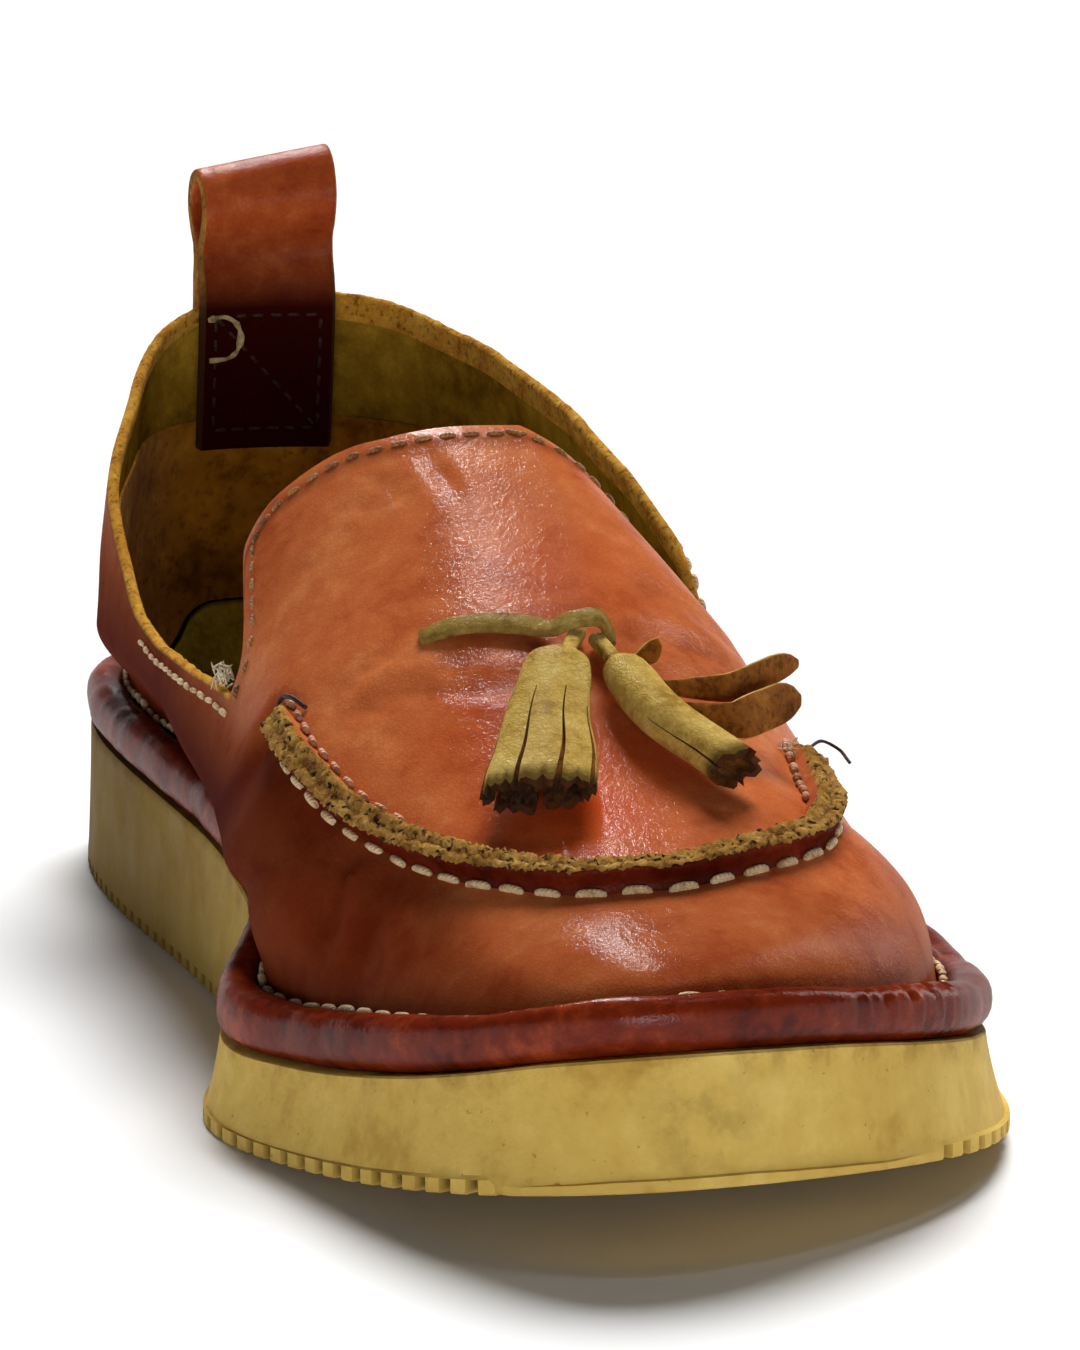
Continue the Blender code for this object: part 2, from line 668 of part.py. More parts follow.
def bar_section(width, thickness):
    w = width / 2.0
    t = thickness / 2.0
    return ((-w, -t), (w, -t), (w, t), (-w, t))


def make_thong(material):
    """A flat thong from its slit in the vamp, over the tassels' stems in an arch and down again."""
    way = np.linspace(0.0, 1.0, len(THONG_LINE))
    fine = np.linspace(0.0, 1.0, THONG_STEPS)
    rows = [(w,) + row for w, row in zip(way, THONG_LINE)]
    share = read_table(rows, 1, fine)
    angle = np.radians(read_table(rows, 2, fine))
    lift = read_table(rows, 3, fine)
    place, aside, upward = on_last(share, angle)
    path = place + upward * lift[:, None]
    run = np.gradient(path, axis=0)
    over = np.cross(aside, run)
    over /= np.linalg.norm(over, axis=1)[:, None]
    points, faces = sweep(path, aside, over, bar_section(THONG_WIDTH, THONG_THICKNESS))
    return add_object("tassel_thong", points, faces, material)


def make_tassel(name, strips, material):
    """A stem, a rolled head and its cut strips, fused into one solid."""
    pieces = []
    way = np.linspace(0.0, 1.0, STRIP_STEPS)
    for number, strip in enumerate(strips):
        share_a, angle_a, share_b, angle_b, lift_a, lift_b, shift_a, shift_b, width, thickness = strip
        share = share_a + (share_b - share_a) * way
        angle = np.radians(angle_a + (angle_b - angle_a) * way)
        lift = lift_a + (lift_b - lift_a) * way
        shift = shift_a + (shift_b - shift_a) * way
        place, aside, upward = on_last(share, angle)
        path = place + upward * lift[:, None] + aside * shift[:, None]
        points, faces = sweep(path, aside, upward, bar_section(width, thickness))
        label = name if number == 0 else f"{name}_strip_{number}"
        pieces.append(add_object(label, points, faces, material))
    for piece in pieces[1:]:
        piece.hide_render = True
        piece.display_type = "WIRE"
        join = pieces[0].modifiers.new("fuse", "BOOLEAN")
        join.operation = "UNION"
        join.solver = "EXACT"
        join.object = piece
    return pieces[0]


for old in list(bpy.data.objects):
    bpy.data.objects.remove(old, do_unlink=True)

SOLE_LOW = np.min(outsole_rings()[0], axis=0)
SOLE_HIGH = np.max(outsole_rings()[0], axis=0)
CENTRE = np.array([(SOLE_LOW[0] + SOLE_HIGH[0]) / 2.0, (SOLE_LOW[1] + SOLE_HIGH[1]) / 2.0, 0.0])

make_outsole(finish("crepe rubber", CREPE, 0.6))
make_welt(finish("welt leather", WELT_LEATHER, 0.35))
make_upper(finish("upper leather", RED_LEATHER, 0.35))
make_insole(finish("insole leather", INSOLE_LEATHER, 0.6))
make_seam_ridge(finish("raw leather edge", RAW_EDGE, 0.85))
make_pull_loop(finish("loop leather", RED_LEATHER, 0.4))
make_thong(finish("thong leather", OLIVE_LEATHER, 0.6))
make_tassel("tassel_front", FRONT_STRIPS, finish("front tassel leather", OLIVE_LEATHER, 0.6))
make_tassel("tassel_side", SIDE_STRIPS, finish("side tassel leather", OLIVE_LEATHER, 0.6))
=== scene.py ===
import math

import bpy
import numpy as np
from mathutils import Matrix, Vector


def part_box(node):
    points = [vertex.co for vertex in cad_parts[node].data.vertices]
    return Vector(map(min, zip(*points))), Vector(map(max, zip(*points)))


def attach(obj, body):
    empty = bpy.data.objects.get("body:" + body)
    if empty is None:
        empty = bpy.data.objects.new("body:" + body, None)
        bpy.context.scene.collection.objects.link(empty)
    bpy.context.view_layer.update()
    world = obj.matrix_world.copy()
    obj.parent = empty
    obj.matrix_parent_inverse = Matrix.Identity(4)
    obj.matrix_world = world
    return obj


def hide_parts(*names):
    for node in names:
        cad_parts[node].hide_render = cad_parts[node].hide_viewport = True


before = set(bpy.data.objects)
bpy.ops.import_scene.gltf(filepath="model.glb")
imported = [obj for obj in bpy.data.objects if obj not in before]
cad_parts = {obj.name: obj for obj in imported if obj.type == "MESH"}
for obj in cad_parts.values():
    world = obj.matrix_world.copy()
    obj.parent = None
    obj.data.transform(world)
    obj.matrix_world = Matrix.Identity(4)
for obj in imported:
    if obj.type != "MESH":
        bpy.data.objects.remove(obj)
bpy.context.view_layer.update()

# Outsole
# A one-piece wedge of cream crepe rubber, flared at its foot and sprung at the toe. Grooves across the
# tread end as small square notches round the lower rim, and the toe's rim is worn down to a thin lip.
MM = 0.001
MERGE = 1e-6
OUTLINE = (
    # place, across, from_toe
    ("toe tip", -10.0, 0.0),
    ("inner toe", -31.5, 14.5),
    ("inner forepart", -48.2, 62.0),
    ("inner ball", -52.4, 90.0),
    ("inner ball back", -43.2, 115.0),
    ("inner waist", -36.2, 148.0),
    ("inner heel", -39.6, 232.0),
    ("inner heel corner", -27.4, 290.5),
    ("heel back", -0.8, 300.0),
    ("outer heel corner", 26.5, 287.0),
    ("outer heel", 38.0, 245.0),
    ("outer waist", 43.0, 172.0),
    ("outer ball", 57.4, 107.0),
    ("outer forepart", 47.0, 43.0),
    ("outer toe", 23.5, 14.0),
)
HEEL_BACK = 8
HEEL_X, HEEL_Y = OUTLINE[HEEL_BACK][1:]
SPAN_STEPS = 24
SOLE_TOP = (
    # from_toe, height
    (0.0, 29.0),
    (8.0, 26.8),
    (20.0, 23.2),
    (40.0, 18.4),
    (63.0, 14.5),
    (85.0, 12.6),
    (130.0, 17.2),
    (180.0, 23.6),
    (240.0, 25.0),
    (300.0, 25.0),
)
TOE_SPRING = 11.4
SPRING_START = 80.0
SPRING_POWER = 1.6
SOLE_FLARE = (
    # from_toe, inner_flare, outer_flare
    (0.0, 2.6, 2.6),
    (45.0, 2.6, 3.6),
    (110.0, 2.6, 3.2),
    (200.0, 1.0, 0.8),
    (300.0, 0.8, 0.8),
)
TEETH_PER_SIDE = 66
TOOTH_STEPS = ((0.0, 0), (0.2, 0), (0.4, 0), (0.43, 1), (0.62, 1), (0.82, 1), (0.85, 0))
NOTCH_DEPTH = 2.0
NOTCH_HEIGHT = 2.1
GROOVE_DEPTH = 1.1
TREAD_MIDWAY = 0.6
TREAD_BORDER = 3.0
RIM_ROUND = 0.25
WALL_SHARES = (0.16, 0.24, 0.34, 0.46, 0.58, 0.7, 0.82, 0.92, 0.98)
WALL_WAVER = 0.12
FLARE_CURVE = 1.35
TOP_ROUND = 0.35
TOP_BORDER = 12.0
INNER, OUTER = -1, 1
# Share of the way to the heel up to which the teeth are worn off, and the lip that is left there.
TOE_WORN_TO = {INNER: 0.065, OUTER: 0.115}
WORN_FADE = 0.03
LIP_HEIGHT = 1.5
LIP_WAVER = 0.4
LIP_STEP = 0.7
LIP_ROUND = 0.12
LIP_ENDS_BEFORE = 0.04
LIP_FADE = 0.05
LIP_RUNS_OUT = 0.5
CREPE_TONES = ((226, 194, 108), (212, 177, 90), (192, 154, 72))
BEAD_GRIME = (128, 88, 30)
NOTCH_DIRT = (70, 50, 18)
TOE_SMEAR = (96, 82, 42)
TOE_SMEAR_AT = (-8.0, 0.0, 20.0)
# Painted shade: the inner side of the sole is darkened towards the heel.
INNER_HEEL_PAINTED_SHADE = (90, 64, 20)
INNER_HEEL_SHADE_AT = (-60.0, 250.0, 8.0)
CREPE_SPECK = (96, 74, 34)


def closed_spline(points):
    """Points along the smooth closed curve through the outline's points, equal steps in each span."""
    pts = np.asarray(points, float)
    count = len(pts)
    following = np.roll(pts, -1, axis=0)
    step = np.sqrt(np.linalg.norm(following - pts, axis=1))
    slope = (following - pts) / step[:, None]
    system = np.zeros((count, count))
    for i in range(count):
        system[i, i - 1] += step[i - 1]
        system[i, i] += 2.0 * (step[i - 1] + step[i])
        system[i, (i + 1) % count] += step[i]
    bend = np.linalg.solve(system, 6.0 * (slope - np.roll(slope, 1, axis=0)))
    bend_next = np.roll(bend, -1, axis=0)
    curve = []
    for i in range(count):
        for b in np.linspace(0.0, 1.0, SPAN_STEPS, endpoint=False):
            a = 1.0 - b
            pull = ((a ** 3 - a) * bend[i] + (b ** 3 - b) * bend_next[i]) * step[i] ** 2 / 6.0
            curve.append(a * pts[i] + b * following[i] + pull)
    return np.array(curve)


def read_table(rows, column, at, root=False):
    """Value of one column by the first one, on a smooth curve that never overshoots its rows."""
    x = np.array([row[0] for row in rows], float)
    y = np.array([row[column] for row in rows], float)
    at = np.clip(np.asarray(at, float), x[0], x[-1])
    if root:
        x = np.sqrt(x)
        at = np.sqrt(at)
    width = np.diff(x)
    slope = np.diff(y) / width
    tangent = np.zeros(len(x))
    tangent[0] = slope[0]
    tangent[-1] = slope[-1]
    for i in range(1, len(x) - 1):
        if slope[i - 1] * slope[i] > 0.0:
            before = 2.0 * width[i] + width[i - 1]
            after = width[i] + 2.0 * width[i - 1]
            tangent[i] = (before + after) / (before / slope[i - 1] + after / slope[i])
    i = np.clip(np.searchsorted(x, at, side="right") - 1, 0, len(width) - 1)
    t = (at - x[i]) / width[i]
    ends = (2 * t ** 3 - 3 * t ** 2 + 1) * y[i] + (3 * t ** 2 - 2 * t ** 3) * y[i + 1]
    bends = (t ** 3 - 2 * t ** 2 + t) * tangent[i] + (t ** 3 - t ** 2) * tangent[i + 1]
    return ends + bends * width[i]


def ease(x):
    """From 0 to 1 as x does, slow at both ends."""
    x = np.clip(x, 0.0, 1.0)
    return x * x * (3.0 - 2.0 * x)


RIM = closed_spline([row[1:] for row in OUTLINE])
RIM_RUN = np.roll(RIM, -1, axis=0) - np.roll(RIM, 1, axis=0)
RIM_RUN /= np.linalg.norm(RIM_RUN, axis=1)[:, None]
RIM_OUT = np.stack([RIM_RUN[:, 1], -RIM_RUN[:, 0]], axis=1)
RIM_OUT *= np.sign(np.sum((RIM - RIM.mean(axis=0)) * RIM_OUT))
TOE_TO_HEEL = {
    INNER: np.arange(0, HEEL_BACK * SPAN_STEPS + 1),
    OUTER: np.append(0, np.arange(len(RIM) - 1, HEEL_BACK * SPAN_STEPS - 1, -1)),
}
FLARE_COLUMN = {INNER: 1, OUTER: 2}
inner_half = np.arange(len(RIM)) <= HEEL_BACK * SPAN_STEPS
flares = {side: read_table(SOLE_FLARE, column, RIM[:, 1]) for side, column in FLARE_COLUMN.items()}
foot_flare = np.where(inner_half, flares[INNER], flares[OUTER])
FOOT_RIM = RIM + RIM_OUT * foot_flare[:, None]
SOLE_BOX = np.array(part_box("outsole"))
CENTRE = np.append((FOOT_RIM.min(axis=0) + FOOT_RIM.max(axis=0)) / 2.0, 0.0)
CENTRE[:2] -= SOLE_BOX[:, :2].mean(axis=0) / MM


def rim_at(side, share, inset):
    """Plan point on one side of the outline, moved inwards, by its share of the way from toe to heel."""
    order = TOE_TO_HEEL[side]
    base = RIM[order]
    run = np.append(0.0, np.cumsum(np.linalg.norm(np.diff(base, axis=0), axis=1)))
    line = base - RIM_OUT[order] * inset
    x = np.interp(share, run / run[-1], line[:, 0])
    y = np.interp(share, run / run[-1], line[:, 1])
    return np.stack([x, y], axis=-1)


def sole_bottom(from_toe):
    return TOE_SPRING * np.clip(1.0 - from_toe / SPRING_START, 0.0, None) ** SPRING_POWER


def sole_top(from_toe):
    return read_table(SOLE_TOP, 1, from_toe)


def round_the_shoe(inner, outer):
    """One closed line from two toe-to-heel lines, with its first point repeated at the end."""
    return np.concatenate([inner, outer[-2::-1]])


def soft_noise(size, cells, seed):
    """Smooth random values from -1 to 1 along a closed line."""
    knots = np.random.default_rng(seed).uniform(-1.0, 1.0, cells)
    at = np.linspace(0.0, cells, size, endpoint=False)
    before = at.astype(int)
    t = ease(at - before)
    return knots[before % cells] * (1.0 - t) + knots[(before + 1) % cells] * t


def deselect():
    bpy.ops.object.select_all(action="DESELECT")


def shaped_grid(name, points, materials, which=None, marks=None, sharp=45.0):
    """A grid primitive with its vertices moved to rows and columns of points in the shoe's millimetres.
    which holds a material number for each face, marks holds named values for each point."""
    points = np.asarray(points, float)
    rows, columns = points.shape[:2]
    deselect()
    bpy.ops.mesh.primitive_grid_add(x_subdivisions=columns - 1, y_subdivisions=rows - 1)
    piece = bpy.context.object
    piece.name = name
    piece.data.name = name
    piece.data.vertices.foreach_set("co", ((points - CENTRE) * MM).ravel())
    for material in materials:
        piece.data.materials.append(material)
    if which is not None:
        piece.data.polygons.foreach_set("material_index", np.asarray(which, int).ravel())
    for label, values in (marks or {}).items():
        mark = piece.data.attributes.new(label, "FLOAT", "POINT")
        mark.data.foreach_set("value", np.asarray(values, float).ravel())
    bpy.ops.object.mode_set(mode="EDIT")
    bpy.ops.mesh.select_all(action="SELECT")
    bpy.ops.mesh.remove_doubles(threshold=MERGE)
    bpy.ops.mesh.normals_make_consistent(inside=False)
    bpy.ops.object.mode_set(mode="OBJECT")
    bpy.ops.object.shade_smooth_by_angle(angle=math.radians(sharp))
    return piece


def ride_root(piece, slot, *nodes):
    """The piece moves with the shoe and stands for the nodes, which it hides. The slot is not used."""
    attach(piece, "root")
    if nodes:
        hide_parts(*nodes)


def colour(red, green, blue):
    """A colour given in the eight-bit values of a screen."""
    def linear(value):
        value /= 255.0
        return value / 12.92 if value <= 0.04045 else ((value + 0.055) / 1.055) ** 2.4

    return (linear(red), linear(green), linear(blue), 1.0)


def shader_node(tree, kind, sockets=None, **settings):
    """A shader node; a socket gets a plain value, or a link from another node's output."""
    node = tree.nodes.new(kind)
    for key, value in settings.items():
        setattr(node, key, value)
    for key, value in (sockets or {}).items():
        if isinstance(value, bpy.types.NodeSocket):
            tree.links.new(value, node.inputs[key])
        else:
            node.inputs[key].default_value = value
    return node


def math_node(tree, operation, first, second=0.0, third=0.0):
    sockets = {0: first, 1: second, 2: third}
    return shader_node(tree, "ShaderNodeMath", sockets, operation=operation).outputs[0]


def ramp(tree, value, low, high, to_low=0.0, to_high=1.0):
    """A value spread from low..high to to_low..to_high, clamped and softened at both ends."""
    sockets = {"Value": value, "From Min": low, "From Max": high, "To Min": to_low, "To Max": to_high}
    return shader_node(tree, "ShaderNodeMapRange", sockets, interpolation_type="SMOOTHSTEP").outputs[0]


MIX_FACTOR, MIX_A, MIX_B, MIX_RESULT = 0, 6, 7, 2


def mix(tree, factor, first, second):
    sockets = {MIX_FACTOR: factor, MIX_A: first, MIX_B: second}
    return shader_node(tree, "ShaderNodeMix", sockets, data_type="RGBA").outputs[MIX_RESULT]


def stain(tree, base, mask, amount, tint):
    """The base with a tint laid over it by the mask, up to the amount."""
    return mix(tree, math_node(tree, "MULTIPLY", mask, amount), base, colour(*tint))


def noise(tree, where, scale, detail=3.0, roughness=0.55):
    sockets = {"Vector": where, "Scale": scale, "Detail": detail, "Roughness": roughness}
    return shader_node(tree, "ShaderNodeTexNoise", sockets).outputs["Fac"]


def mark_value(tree, label):
    return shader_node(tree, "ShaderNodeAttribute", None, attribute_name=label).outputs["Fac"]


def blank_material(name):
    """A new material with its tree, its shader and the Object coordinates."""
    material = bpy.data.materials.new(name)
    material.use_nodes = True
    tree = material.node_tree
    where = shader_node(tree, "ShaderNodeTexCoord").outputs["Object"]
    return material, tree, tree.nodes["Principled BSDF"], where


def shader_group(name, inputs, outputs):
    """An empty node group with named sockets, and its input and output nodes."""
    group = bpy.data.node_groups.new(name, "ShaderNodeTree")
    for label, kind in inputs:
        group.interface.new_socket(label, in_out="INPUT", socket_type=kind)
    for label, kind in outputs:
        group.interface.new_socket(label, in_out="OUTPUT", socket_type=kind)
    return group, group.nodes.new("NodeGroupInput"), group.nodes.new("NodeGroupOutput")


VECTOR, FLOAT, TINT = "NodeSocketVector", "NodeSocketFloat", "NodeSocketColor"

# Soft patches of three tones of one colour, shared by the rubber and every leather.
MOTTLING, taken, given = shader_group(
    "mottling",
    (("Vector", VECTOR), ("Scale", FLOAT), ("Light", TINT), ("Middle", TINT), ("Dark", TINT)),
    (("Color", TINT),),
)
broad = noise(MOTTLING, taken.outputs["Vector"], taken.outputs["Scale"], 4.0, 0.6)
fine_scale = math_node(MOTTLING, "MULTIPLY", taken.outputs["Scale"], 5.3)
fine = noise(MOTTLING, taken.outputs["Vector"], fine_scale, 3.0, 0.6)
blotch = math_node(MOTTLING, "MULTIPLY_ADD", fine, 0.35, math_node(MOTTLING, "MULTIPLY", broad, 0.65))
lower_tone = mix(
    MOTTLING, ramp(MOTTLING, blotch, 0.36, 0.52), taken.outputs["Dark"], taken.outputs["Middle"]
)
upper_tone = mix(MOTTLING, ramp(MOTTLING, blotch, 0.5, 0.68), lower_tone, taken.outputs["Light"])
MOTTLING.links.new(upper_tone, given.inputs["Color"])


def mottled(tree, where, scale, tones):
    """The mottling group in a light, a middle and a dark tone, with this many patches to a metre."""
    sockets = {"Vector": where, "Scale": scale}
    for label, tone in zip(("Light", "Middle", "Dark"), tones):
        sockets[label] = colour(*tone)
    return shader_node(tree, "ShaderNodeGroup", sockets, node_tree=MOTTLING).outputs["Color"]


def bump(tree, shader, height, strength, depth, socket="Normal"):
    """Fine relief: depth is in millimetres."""
    sockets = {"Height": height, "Strength": strength, "Distance": depth * MM}
    node = shader_node(tree, "ShaderNodeBump", sockets)
    tree.links.new(node.outputs["Normal"], shader.inputs[socket])


def near_point(tree, where, place, near, far):
    """A soft spot on the shoe, 1 within the near distance of a place and 0 beyond the far one."""
    spot = [float(value) for value in (np.array(place) - CENTRE) * MM]
    gap = shader_node(tree, "ShaderNodeVectorMath", {0: where, 1: spot}, operation="DISTANCE")
    return ramp(tree, gap.outputs["Value"], far * MM, near * MM)


crepe, tree, shader, where = blank_material("crepe rubber")
base = mottled(tree, where, 45.0, CREPE_TONES)
grime = ramp(tree, noise(tree, where, 160.0, 5.0, 0.7), 0.42, 0.66)
under_bead = math_node(tree, "MULTIPLY", ramp(tree, mark_value(tree, "up"), 0.72, 1.0), grime)
base = stain(tree, base, under_bead, 0.4, BEAD_GRIME)
base = stain(tree, base, mark_value(tree, "notch"), 0.75, NOTCH_DIRT)
smear = near_point(tree, where, TOE_SMEAR_AT, 1.0, 12.0)
patchy = ramp(tree, noise(tree, where, 190.0, 5.0, 0.65), 0.4, 0.62)
base = stain(tree, base, math_node(tree, "MULTIPLY", smear, patchy), 0.3, TOE_SMEAR)
# Painted shade darkens the inner side of the sole towards the heel.
base = stain(tree, base, near_point(tree, where, INNER_HEEL_SHADE_AT, 30.0, 150.0), 0.8, INNER_HEEL_PAINTED_SHADE)
specks = ramp(tree, noise(tree, where, 900.0, 2.0, 0.5), 0.7, 0.78)
base = stain(tree, base, specks, 0.5, CREPE_SPECK)
tree.links.new(base, shader.inputs["Base Color"])
rub = ramp(tree, noise(tree, where, 120.0, 4.0, 0.6), 0.3, 0.7, 0.5, 0.72)
tree.links.new(rub, shader.inputs["Roughness"])
shader.inputs["Specular IOR Level"].default_value = 0.03
rubber_skin = math_node(tree, "ADD", noise(tree, where, 700.0, 4.0, 0.6), noise(tree, where, 130.0, 3.0))
bump(tree, shader, rubber_skin, 0.5, 0.25)

teeth = [(tooth + step, cut) for tooth in range(TEETH_PER_SIDE) for step, cut in TOOTH_STEPS]
teeth.append((TEETH_PER_SIDE, 0))
tooth_shares = np.array([step / TEETH_PER_SIDE for step, _ in teeth])
tooth_cuts = np.array([cut for _, cut in teeth], float)
edges = {side: rim_at(side, tooth_shares, 0.0) for side in (INNER, OUTER)}
centre_line = (edges[INNER] + edges[OUTER]) / 2.0


def sole_half(side):
    """Rows of one side, from the middle of the tread round the rim and up the wall to the middle of the
    top. A point has its place, its share of the way up the wall and how far it is in a notch."""
    edge = edges[side]
    outward = rim_at(side, tooth_shares, -1.0) - edge
    flare = read_table(SOLE_FLARE, FLARE_COLUMN[side], edge[:, 1])
    low = sole_bottom(edge[:, 1])
    high = sole_top(edge[:, 1])
    notch = tooth_cuts * ease((tooth_shares - TOE_WORN_TO[side]) / WORN_FADE)
    toe_lip = 1.0 - ease((tooth_shares - TOE_WORN_TO[side] + LIP_ENDS_BEFORE) / LIP_FADE)
    waver = soft_noise(len(edge), 60, 11 + side) * WALL_WAVER
    groove = GROOVE_DEPTH * notch
    rows = []

    def add_row(plan, height, up, cut=0.0):
        marks = [np.broadcast_to(mark, len(plan)) for mark in (up, cut)]
        rows.append(np.column_stack([plan, height, *marks]))

    set_in = flare - NOTCH_DEPTH * notch
    add_row(centre_line, sole_bottom(centre_line[:, 1]) + groove, 0.0, notch)
    add_row(centre_line + (edge - centre_line) * TREAD_MIDWAY, low + groove, 0.0, notch)
    add_row(edge - outward * TREAD_BORDER, low + groove, 0.0, notch)
    add_row(edge + outward * (set_in - RIM_ROUND)[:, None], low + groove, 0.0, notch)
    add_row(edge + outward * set_in[:, None], low + RIM_ROUND + groove, 0.02, notch)
    wavy_lip = LIP_HEIGHT + soft_noise(len(edge), 45, 5) * LIP_WAVER
    lip_top = np.where(toe_lip > 0.0, wavy_lip, NOTCH_HEIGHT)
    add_row(edge + outward * set_in[:, None], low + lip_top - LIP_ROUND, 0.05, notch)
    add_row(edge + outward * (flare - LIP_STEP * toe_lip)[:, None], low + lip_top, 0.06)
    for way in WALL_SHARES:
        stepped = LIP_STEP * toe_lip * (1.0 - ease(way / LIP_RUNS_OUT))
        outset = flare * (1.0 - way) ** FLARE_CURVE - stepped + waver * (1.0 - way)
        add_row(edge + outward * outset[:, None], low + (high - low) * way, way)
    add_row(edge - outward * TOP_ROUND, high, 1.0)
    add_row(edge - outward * TOP_BORDER, high, 1.0)
    add_row(centre_line, sole_top(centre_line[:, 1]), 1.0)
    return rows


sole_rows = np.array([round_the_shoe(*halves) for halves in zip(sole_half(INNER), sole_half(OUTER))])
crepe_sole = shaped_grid(
    "crepe_sole",
    sole_rows[:, :, :3],
    [crepe],
    marks={"up": sole_rows[:, :, 3], "notch": sole_rows[:, :, 4]},
    sharp=38.0,
)
ride_root(crepe_sole, "sole_rubber", "outsole")

# Rolled welt
# A strip of dark red-brown leather rolled into a fat bead and sewn to the sole's edge all the way round.
# It puckers where it turns the corners of the toe.
GAP = 0.3
BEAD_WIDTH = 7.0
BEAD_OVERHANG = 0.6
BEAD_HEIGHT = 8.0
BEAD_ROUND = 2.3
BEAD_STEPS = 300
BEAD_SIDES = 22
BROAD_SWELL = 0.34
FINE_SWELL = 0.1
SWELL_FADE = 0.02
INNER_FACE_SHADE = 0.5
UNDERSIDE_SHADE = 0.4
PUCKER_FADE = 0.012
PUCKER_ROUND = 0.6
WELT_PUCKERS = (
    # side, first_share, last_share, pitch, depth
    (INNER, 0.055, 0.125, 0.0095, 0.22),
    (OUTER, 0.075, 0.165, 0.0085, 0.7),
    (INNER, 0.30, 0.36, 0.012, 0.14),
    (INNER, 0.86, 0.97, 0.011, 0.2),
    (OUTER, 0.86, 0.97, 0.011, 0.2),
)

# Pebbled leather: cells a fraction of a millimetre across with fine creases between them.
GRAIN, taken, given = shader_group(
    "leather grain", (("Vector", VECTOR), ("Scale", FLOAT)), (("Height", FLOAT), ("Pore", FLOAT))
)
wander = shader_node(
    GRAIN, "ShaderNodeTexNoise", {"Vector": taken.outputs["Vector"], "Scale": 260.0, "Detail": 2.0}
)
strayed = shader_node(
    GRAIN,
    "ShaderNodeVectorMath",
    {0: wander.outputs["Color"], 1: (0.0016, 0.0016, 0.0016), 2: taken.outputs["Vector"]},
    operation="MULTIPLY_ADD",
)
cells = shader_node(
    GRAIN,
    "ShaderNodeTexVoronoi",
    {"Vector": strayed.outputs[0], "Scale": taken.outputs["Scale"]},
    feature="DISTANCE_TO_EDGE",
)
pebble = ramp(GRAIN, cells.outputs["Distance"], 0.0, 0.22)
skin_scale = math_node(GRAIN, "MULTIPLY", taken.outputs["Scale"], 2.6)
skin = noise(GRAIN, taken.outputs["Vector"], skin_scale, 3.0)
relief = math_node(GRAIN, "MULTIPLY_ADD", skin, 0.55, math_node(GRAIN, "MULTIPLY", pebble, 0.45))
GRAIN.links.new(relief, given.inputs["Height"])
GRAIN.links.new(math_node(GRAIN, "SUBTRACT", 1.0, pebble), given.inputs["Pore"])


def leather(name, tones, shaded, warm, patch, grain, relief, coat, rough=0.5):
    """Dyed and polished leather in a light, a middle and a dark tone. The marks shade and warm darken and
    redden it where they are painted, and crease gives the broken colour of a worn fold. Patch and grain are
    how many patches and pebbles there are to a metre."""
    material, tree, shader, where = blank_material(name)
    base = mottled(tree, where, patch, tones)
    stretched = shader_node(tree, "ShaderNodeMapping", {"Vector": where, "Scale": (1.0, 0.35, 1.0)})
    streaks = noise(tree, stretched.outputs["Vector"], 170.0, 5.0, 0.65)
    base = mix(tree, ramp(tree, streaks, 0.52, 0.74, 0.0, 0.3), base, colour(*tones[-1]))
    base = mix(tree, mark_value(tree, "warm"), base, colour(*warm))
    base = mix(tree, mark_value(tree, "shade"), base, colour(*shaded))
    pebbles = shader_node(tree, "ShaderNodeGroup", {"Vector": where, "Scale": grain}, node_tree=GRAIN)
    base = stain(tree, base, pebbles.outputs["Pore"], 0.12, shaded)
    worn = math_node(tree, "MULTIPLY", mark_value(tree, "crease"), ramp(tree, streaks, 0.35, 0.6))
    base = stain(tree, base, worn, 0.38, shaded)
    tree.links.new(base, shader.inputs["Base Color"])
    gloss = ramp(tree, noise(tree, where, 60.0, 3.0), 0.35, 0.68, rough - 0.08, rough + 0.1)
    tree.links.new(gloss, shader.inputs["Roughness"])
    shader.inputs["Specular IOR Level"].default_value = 0.0
    polish = ramp(tree, mark_value(tree, "shade"), 0.0, 0.7, coat, coat * 0.1)
    tree.links.new(polish, shader.inputs["Coat Weight"])
    shader.inputs["Coat Roughness"].default_value = 0.16
    wrinkle = noise(tree, where, grain * 0.22, 4.0, 0.6)
    height = math_node(tree, "MULTIPLY_ADD", wrinkle, 1.1, pebbles.outputs["Height"])
    bump(tree, shader, height, relief, 0.3)
    polished_skin = noise(tree, where, grain * 0.7, 3.0, 0.7)
    polished = math_node(tree, "MULTIPLY_ADD", wrinkle, 0.8, polished_skin)
    bump(tree, shader, polished, relief * 2.0, 0.3, "Coat Normal")
    return material


def rounded(value, power):
    """A sine or cosine to a power with its sign kept, for a section between a circle and a box."""
    return math.copysign(abs(value) ** power, value)


